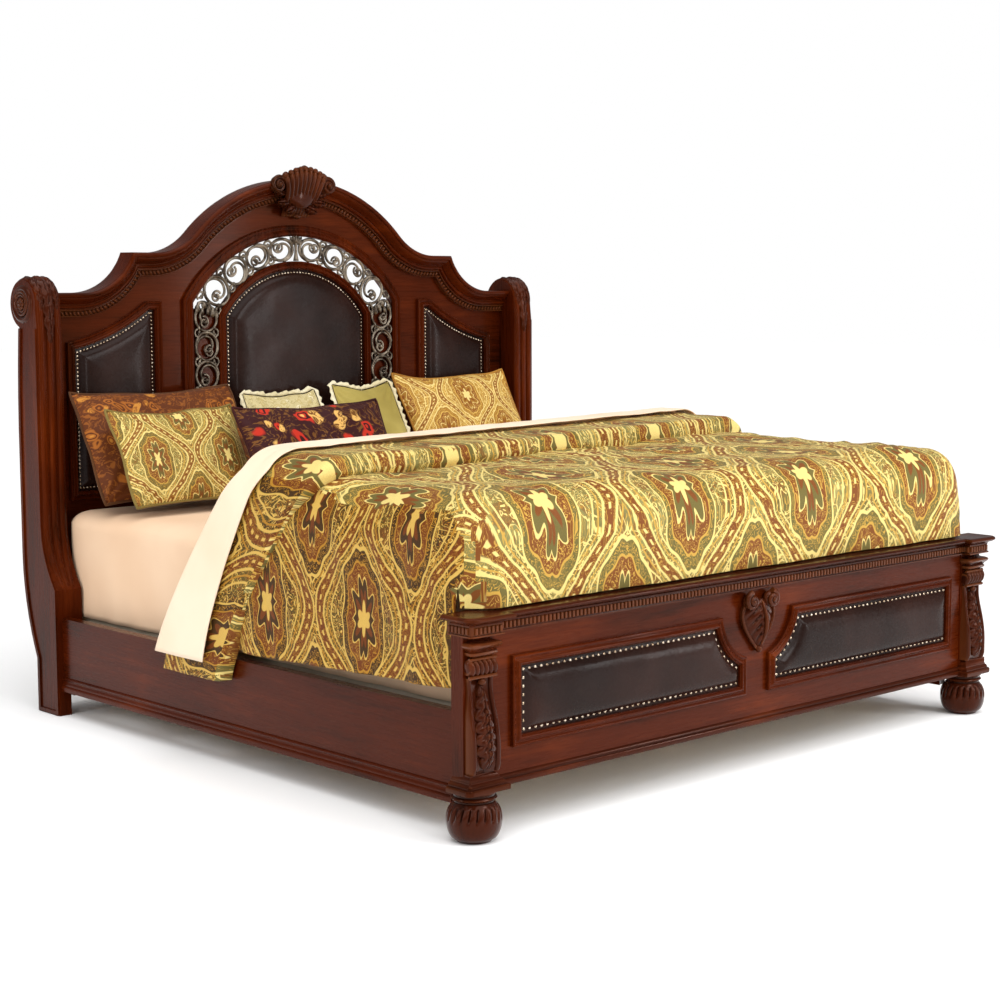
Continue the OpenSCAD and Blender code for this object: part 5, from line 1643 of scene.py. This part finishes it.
def top_sheet():
    """The white sheet turned over the comforter's edge, about 3.3 m from hem to hem."""
    half, top, bend = TURN_HALF, TURN_TOP, TURN_BEND
    flat = half - bend
    drop = top - bend - TURN_HEM
    across = [(-half, TURN_HEM + drop * t) for t in np.linspace(0, 1, 34)]
    across += arc(-flat, top - bend, bend, 180, 90, 5)[1:]
    across += [(-flat + 2 * flat * t, top) for t in np.linspace(0, 1, 96)[1:]]
    across += arc(flat, top - bend, bend, 90, 0, 5)[1:]
    across += [(half, top - bend - drop * t) for t in np.linspace(0, 1, 34)[1:]]
    along = list(np.linspace(1.085, TURN_END, 20))
    grid = np.array([[(x, at_y(y), z) for y in along] for x, z in across])
    tail = []
    for dy, sink in [(0.008, 0.003), (0.013, 0.010), (0.015, 0.022)]:
        edge = grid[:, -1].copy()
        edge[:, 1] += dy
        inward = np.stack([-np.sign(edge[:, 0]) * (edge[:, 2] < top - 0.02), np.zeros(len(edge)),
            -(edge[:, 2] > top - bend).astype(float)], 1)
        tail.append(edge + inward * sink)
    grid = np.concatenate([grid, np.stack(tail, 1)], 1)
    n, m = grid.shape[:2]
    points = grid.reshape(-1, 3)
    fold = 0.0028 * ripple(points, 7.0, 31.0, (1, 0.6, 0.5)) + 0.0015 * ripple(points, 20.0, 33.0,
        (1, 1, 0.4))
    out = np.stack([np.sign(points[:, 0]) * (np.abs(points[:, 0]) > flat), np.zeros(len(points)),
        points[:, 2] > top - bend + 0.02], 1)
    points = points + out * (fold - 0.001)[:, None]
    rise = np.clip((points[:, 2] - 0.30) / 0.56, 0, 1)
    points[:, 1] = at_y(TURN_END) - (at_y(TURN_END) - points[:, 1]) * (1 - 0.55 * rise)
    points[:, 1] += fold_shift(points)
    points[:, 1] = np.clip(points[:, 1], at_y(0.655), at_y(1.345))
    faces = [(i * m + j, (i + 1) * m + j, (i + 1) * m + j + 1, i * m + j + 1)
        for i in range(n - 1) for j in range(m - 1)]
    piece = soft("top_sheet_turned", points, faces, WHITE_SHEET, "top_sheet", ["top_sheet"])
    thick = piece.modifiers.new("thickness", "SOLIDIFY")
    thick.thickness, thick.offset = 0.0025, 0.0


def fitted_sheet():
    """Drawn over the mattress: rounded corners, a few soft folds and a hem seam."""
    verts, faces = rounded_box((-0.963, MATTRESS_Y0 + 0.002, 0.20), (0.963, MATTRESS_Y1 - 0.002, 0.643),
        (0.085, 0.085, 0.050), 0.02)
    keep = [face for face in faces if np.mean([verts[i][2] for i in face]) > 0.300]
    used = sorted({i for face in keep for i in face})
    index = {old: new for new, old in enumerate(used)}
    verts = verts[used]
    faces = [tuple(index[i] for i in face) for face in keep]
    way = normals_of(verts, faces)
    z = verts[:, 2]
    hang = np.clip((0.62 - z) / 0.2, 0, 1)
    folds = 0.006 * creased(verts, 4.5, 41.0, (1, 1, 0.25)) + 0.005 * ripple(verts, 9.0, 43.0,
        (1, 1, 0.3)) + 0.002 * ripple(verts, 24.0, 44.0)
    seam = 0.003 * np.exp(-((verts[:, 1] - at_y(1.57)) / 0.008) ** 2)
    moved = verts + way * (folds * hang - 0.006 + seam * hang)[:, None]
    moved[:, 2] = np.maximum(moved[:, 2], 0.306)
    piece = soft("fitted_sheet_drawn", moved, faces, FITTED, "fitted_sheet", ["fitted_sheet"])
    thick = piece.modifiers.new("thickness", "SOLIDIFY")
    thick.thickness, thick.offset = 0.002, -1.0


def mattress():
    """A quilted mattress under the fitted sheet."""
    verts, faces = rounded_box((-0.955, MATTRESS_Y0 + 0.010, 0.307), (0.955, MATTRESS_Y1 - 0.010, 0.634),
        (0.080, 0.080, 0.040), 0.03)
    way = normals_of(verts, faces)
    x, y, z = verts.T
    quilt = np.abs(np.sin(x * 18)) * np.abs(np.sin(y * 18)) * np.clip(way[:, 2], 0, 1)
    depth = 0.004 * quilt - 0.008 - 0.003 * np.cos(z * 40) * (1 - np.abs(way[:, 2]))
    moved = verts + way * depth[:, None]
    moved[:, 2] = np.maximum(moved[:, 2], 0.3065)
    piece = soft("mattress_quilted", moved, faces, TICKING, "mattress_fabric", ["mattress"])


def foundation():
    """The covered box that the mattress lies on."""
    verts, faces = rounded_box((-0.960, MATTRESS_Y0 + 0.006, 0.166), (0.960, MATTRESS_Y1 - 0.006, 0.304),
        (0.080, 0.080, 0.014), 0.035)
    way = normals_of(verts, faces)
    moved = verts + way * (0.002 * ripple(verts, 6.0, 51.0) - 0.002)[:, None]
    moved[:, 2] = np.clip(moved[:, 2], 0.1655, 0.3045)
    piece = soft("foundation_covered", moved, faces, BASE_CLOTH, "foundation_fabric", ["foundation"])


comforter_body()
comforter_flap()
top_sheet()
fitted_sheet()
mattress()
foundation()


# ---------------------------------------------------------------- pillows
LEAN = math.radians(30)
EDGE_SHARE, CORD_R, TRIM_WIDTH = 0.6, 0.0045, 0.020


def pillow(name, node, slot, material, x, station, size, cells, seed, trim, trim_material, slump=0.05):
    """A stuffed pillow that leans back on its lower edge."""
    w, h, t = size
    nu, nv = 54, 44
    edge = 0.5 * t * EDGE_SHARE
    margin = TRIM_WIDTH if trim != "cord" else 0.008
    lift = MATTRESS_TOP + 0.002 + edge * math.sin(LEAN)

    def place(flat):
        px, py, pz = flat.T
        c, s = math.cos(LEAN), math.sin(LEAN)
        return np.stack([x + px, at_y(station) + py * c + pz * s, lift + pz * c - py * s], 1)

    def outline(u, v):
        """The pillow's edge is drawn in between its corners, and its top slumps a little."""
        px = u * (w / 2 - margin) * (1 - 0.055 * (1 - v * v)) * (1 - 0.03 * (u * v) ** 6)
        px += 0.010 * noise.noise(Vector((u * 1.4, v * 1.4, seed * 3.1)))
        pz = h / 2 + v * (h / 2 - margin) * (1 - 0.07 * (1 - u * u))
        pz -= slump * h * 0.5 * (1 - u * u) * (v + 1) / 2
        pz += 0.014 * (v + 1) / 2 * (noise.noise(Vector((u * 1.6, 4.0, seed * 2.3))) - 0.4)
        return px, pz

    sheets = []
    for face_side in (-1, 1):
        points = []
        for i in range(nu + 1):
            for j in range(nv + 1):
                u, v = math.sin(math.pi / 2 * (2 * i / nu - 1)), math.sin(math.pi / 2 * (2 * j / nv - 1))
                px, pz = outline(u, v)
                full = (1 - abs(u) ** 2.6) ** 0.50 * (1 - abs(v) ** 2.6) ** 0.50
                rise = 0.5 * t * full * (0.92 + 0.08 * v)
                at = Vector((px * 7, pz * 7, seed + face_side))
                dent = 0.012 * noise.noise(at) + 0.006 * noise.noise(at * 2.7) + 0.003 * noise.noise(at * 6)
                ray = math.atan2(abs(v) - 1, abs(u) - 1)
                corner = math.exp(-((1 - abs(u)) ** 2 + (1 - abs(v)) ** 2) / 0.18)
                pinch = 0.009 * math.sin(ray * 13 + seed) * corner
                rise = max(0.0, rise + (dent + pinch) * min(1, full * 1.6) - 0.004)
                points.append((px, face_side * rise, pz))
        sheets.append(np.array(points))
    m = nv + 1
    count = (nu + 1) * m
    faces = []
    for k in (0, 1):
        for i in range(nu):
            for j in range(nv):
                a, b = i * m + j, (i + 1) * m + j
                faces.append(tuple(k * count + q for q in (a, b, b + 1, a + 1)))
    flat = np.concatenate(sheets)
    mesh = bpy.data.meshes.new(name)
    mesh.from_pydata(place(flat).tolist(), [], faces)
    layer = mesh.uv_layers.new(name="cloth")
    for face in mesh.polygons:
        for loop, i in zip(face.loop_indices, face.vertices):
            layer.data[loop].uv = (flat[i][0] / cells[0] + 0.5 * seed, flat[i][2] / cells[1])
    tool = bmesh.new()
    tool.from_mesh(mesh)
    bmesh.ops.remove_doubles(tool, verts=tool.verts, dist=0.0004)
    bmesh.ops.recalc_face_normals(tool, faces=tool.faces)
    tool.to_mesh(mesh)
    tool.free()
    body = finish_piece(name, mesh, material, [node], 0)

    level, upright = np.linspace(-1, 1, 40), np.linspace(-1, 1, 30)
    rim = [outline(u, -1) for u in level] + [outline(1, v) for v in upright[1:]]
    rim += [outline(u, 1) for u in level[::-1][1:]] + [outline(-1, v) for v in upright[::-1][1:-1]]
    build = Build()
    line = np.array([(px, 0, pz) for px, pz in rim])
    if trim == "cord":
        ring = np.vstack([line, line[:2]])
        tube(build, place(ring), CORD_R, 8, normal=(0, -1, 0))
    else:
        even_line, ways = even(line[:, [0, 2]], 0.0045, closed=True)
        rings = []
        for k, ((px, pz), (dx, dz)) in enumerate(zip(even_line, ways)):
            wave = 0.004 * math.sin(k * 1.1 + seed) + 0.002 * math.sin(k * 0.37)
            reach = margin * (0.88 + 0.12 * math.sin(k * 0.55))
            inner = np.array([px - dz * -0.004, 0, pz - dx * 0.004])
            outer = np.array([px + dz * reach, wave, pz - dx * reach])
            rings.append([inner + (0, -0.0015, 0), outer + (0, -0.001, 0), outer + (0, 0.001, 0),
                inner + (0, 0.0015, 0)])
        rings = np.array(rings)
        build.loft([place(ring) for ring in rings], closed=True)
    build.done(name + "_edge", trim_material, slot, (), angle=0)


PILLOWS = [
    ("pillow_back_left", "pillow_left_back", "pillow_brown", PILLOW_BROWN, -0.650, 1.812,
     (0.636, 0.420, 0.120), (0.4, 0.4), 1, "cord", BRAID),
    ("pillow_front_left", "pillow_left_front", "pillow_sage", PILLOW_SAGE, -0.690, 1.675,
     (0.490, 0.360, 0.110), (0.26, 0.30), 2, "cord", SAGE_CORD),
    ("pillow_cream_lace", "pillow_cream", "pillow_cream", PILLOW_CREAM, -0.145, 1.822,
     (0.350, 0.400, 0.090), (0.3, 0.3), 3, "lace", FRINGE),
    ("pillow_floral_fringed", "pillow_floral", "pillow_burgundy", PILLOW_FLORAL, -0.250, 1.544,
     (0.620, 0.360, 0.110), (0.5, 0.5), 4, "cord", RED_CORD),
    ("pillow_olive_lace", "pillow_olive", "pillow_olive", PILLOW_OLIVE, 0.200, 1.792,
     (0.300, 0.420, 0.080), (0.3, 0.3), 5, "lace", FRINGE),
    ("pillow_gold_right", "pillow_right_gold", "pillow_gold", PILLOW_GOLD, 0.640, 1.812,
     (0.570, 0.430, 0.120), (0.28, 0.30), 6, "cord", GOLD_CORD),
]
for row in PILLOWS:
    pillow(*row)


# ---------------------------------------------------------------- camera and lights
def camera():
    """The view from beyond the left front corner, a little above the comforter."""
    lens = bpy.data.cameras.new("camera")
    lens.lens, lens.sensor_width = 70.9, 36
    lens.shift_x = -0.06
    eye = bpy.data.objects.new("camera", lens)
    bpy.context.collection.objects.link(eye)
    eye.location = (-4.175, at_y(-3.526), 1.365)
    eye.rotation_euler = (math.radians(90 - 6.36), 0, math.radians(-44.20))
    lens.clip_end = 60
    bpy.context.scene.camera = eye


def lamp(name, place, aim, size, power, colour=(1, 1, 1)):
    light = bpy.data.lights.new(name, "AREA")
    light.shape, light.size, light.size_y = "RECTANGLE", size[0], size[1]
    light.energy, light.color = power, colour
    made = bpy.data.objects.new(name, light)
    bpy.context.collection.objects.link(made)
    made.location = place
    made.rotation_euler = (Vector(aim) - Vector(place)).to_track_quat("-Z", "Y").to_euler()


ROOM_LIGHT, BACKDROP_LIGHT = 0.26, 1.0
SUN_POWER, SUN_WIDTH, SUN_TILT = 2.55, math.radians(70), (math.radians(16), math.radians(-8), 0)
FLOOR_HALF = 30
# Name, place, what it points at, size and power of each lamp.
LAMPS = [
    ("key", (1.2, -5.2, 3.6), (0.1, 0, 0.6), (2.2, 2.2), 120),
    ("fill", (-5.2, -2.6, 2.6), (-0.6, 0.2, 0.6), (1.6, 2.4), 34),
    ("strip_left", (-4.4, 0.4, 1.9), (-0.4, 0.8, 1.0), (0.3, 2.6), 34),
    ("strip_front", (-1.6, -4.8, 1.5), (0.2, -1.0, 0.5), (0.25, 1.8), 34),
    ("strip_right", (3.5, -4.6, 1.7), (0.0, 1.0, 1.1), (0.35, 2.2), 46),
]


def studio():
    """White room, soft overhead light, lamps for the highlights, and a white floor."""
    world = bpy.data.worlds.new("studio")
    bpy.context.scene.world = world
    world.use_nodes = True
    tree = world.node_tree
    backing = tree.nodes["Background"]
    seen = tree.nodes.new("ShaderNodeLightPath")
    level = tree.nodes.new("ShaderNodeMapRange")
    level.inputs["To Min"].default_value, level.inputs["To Max"].default_value = ROOM_LIGHT, BACKDROP_LIGHT
    tree.links.new(seen.outputs["Is Camera Ray"], level.inputs["Value"])
    tree.links.new(level.outputs["Result"], backing.inputs["Strength"])
    backing.inputs["Color"].default_value = (1, 1, 1, 1)
    for row in LAMPS:
        lamp(*row)
    sky = bpy.data.lights.new("overhead", "SUN")
    sky.energy, sky.angle = SUN_POWER, SUN_WIDTH
    above = bpy.data.objects.new("overhead", sky)
    bpy.context.collection.objects.link(above)
    above.rotation_euler = SUN_TILT
    bpy.context.scene.view_settings.view_transform = "Standard"
    floor = bpy.data.meshes.new("floor")
    s = FLOOR_HALF
    floor.from_pydata([(-s, -s, 0), (s, -s, 0), (s, s, 0), (-s, s, 0)], [], [(0, 1, 2, 3)])
    ground = bpy.data.objects.new("floor", floor)
    bpy.context.collection.objects.link(ground)
    g = Graph("pale_floor")
    floor.materials.append(g.set(Base_Color=(255, 255, 255), Roughness=0.9, Specular_IOR_Level=0.0))


camera()
studio()
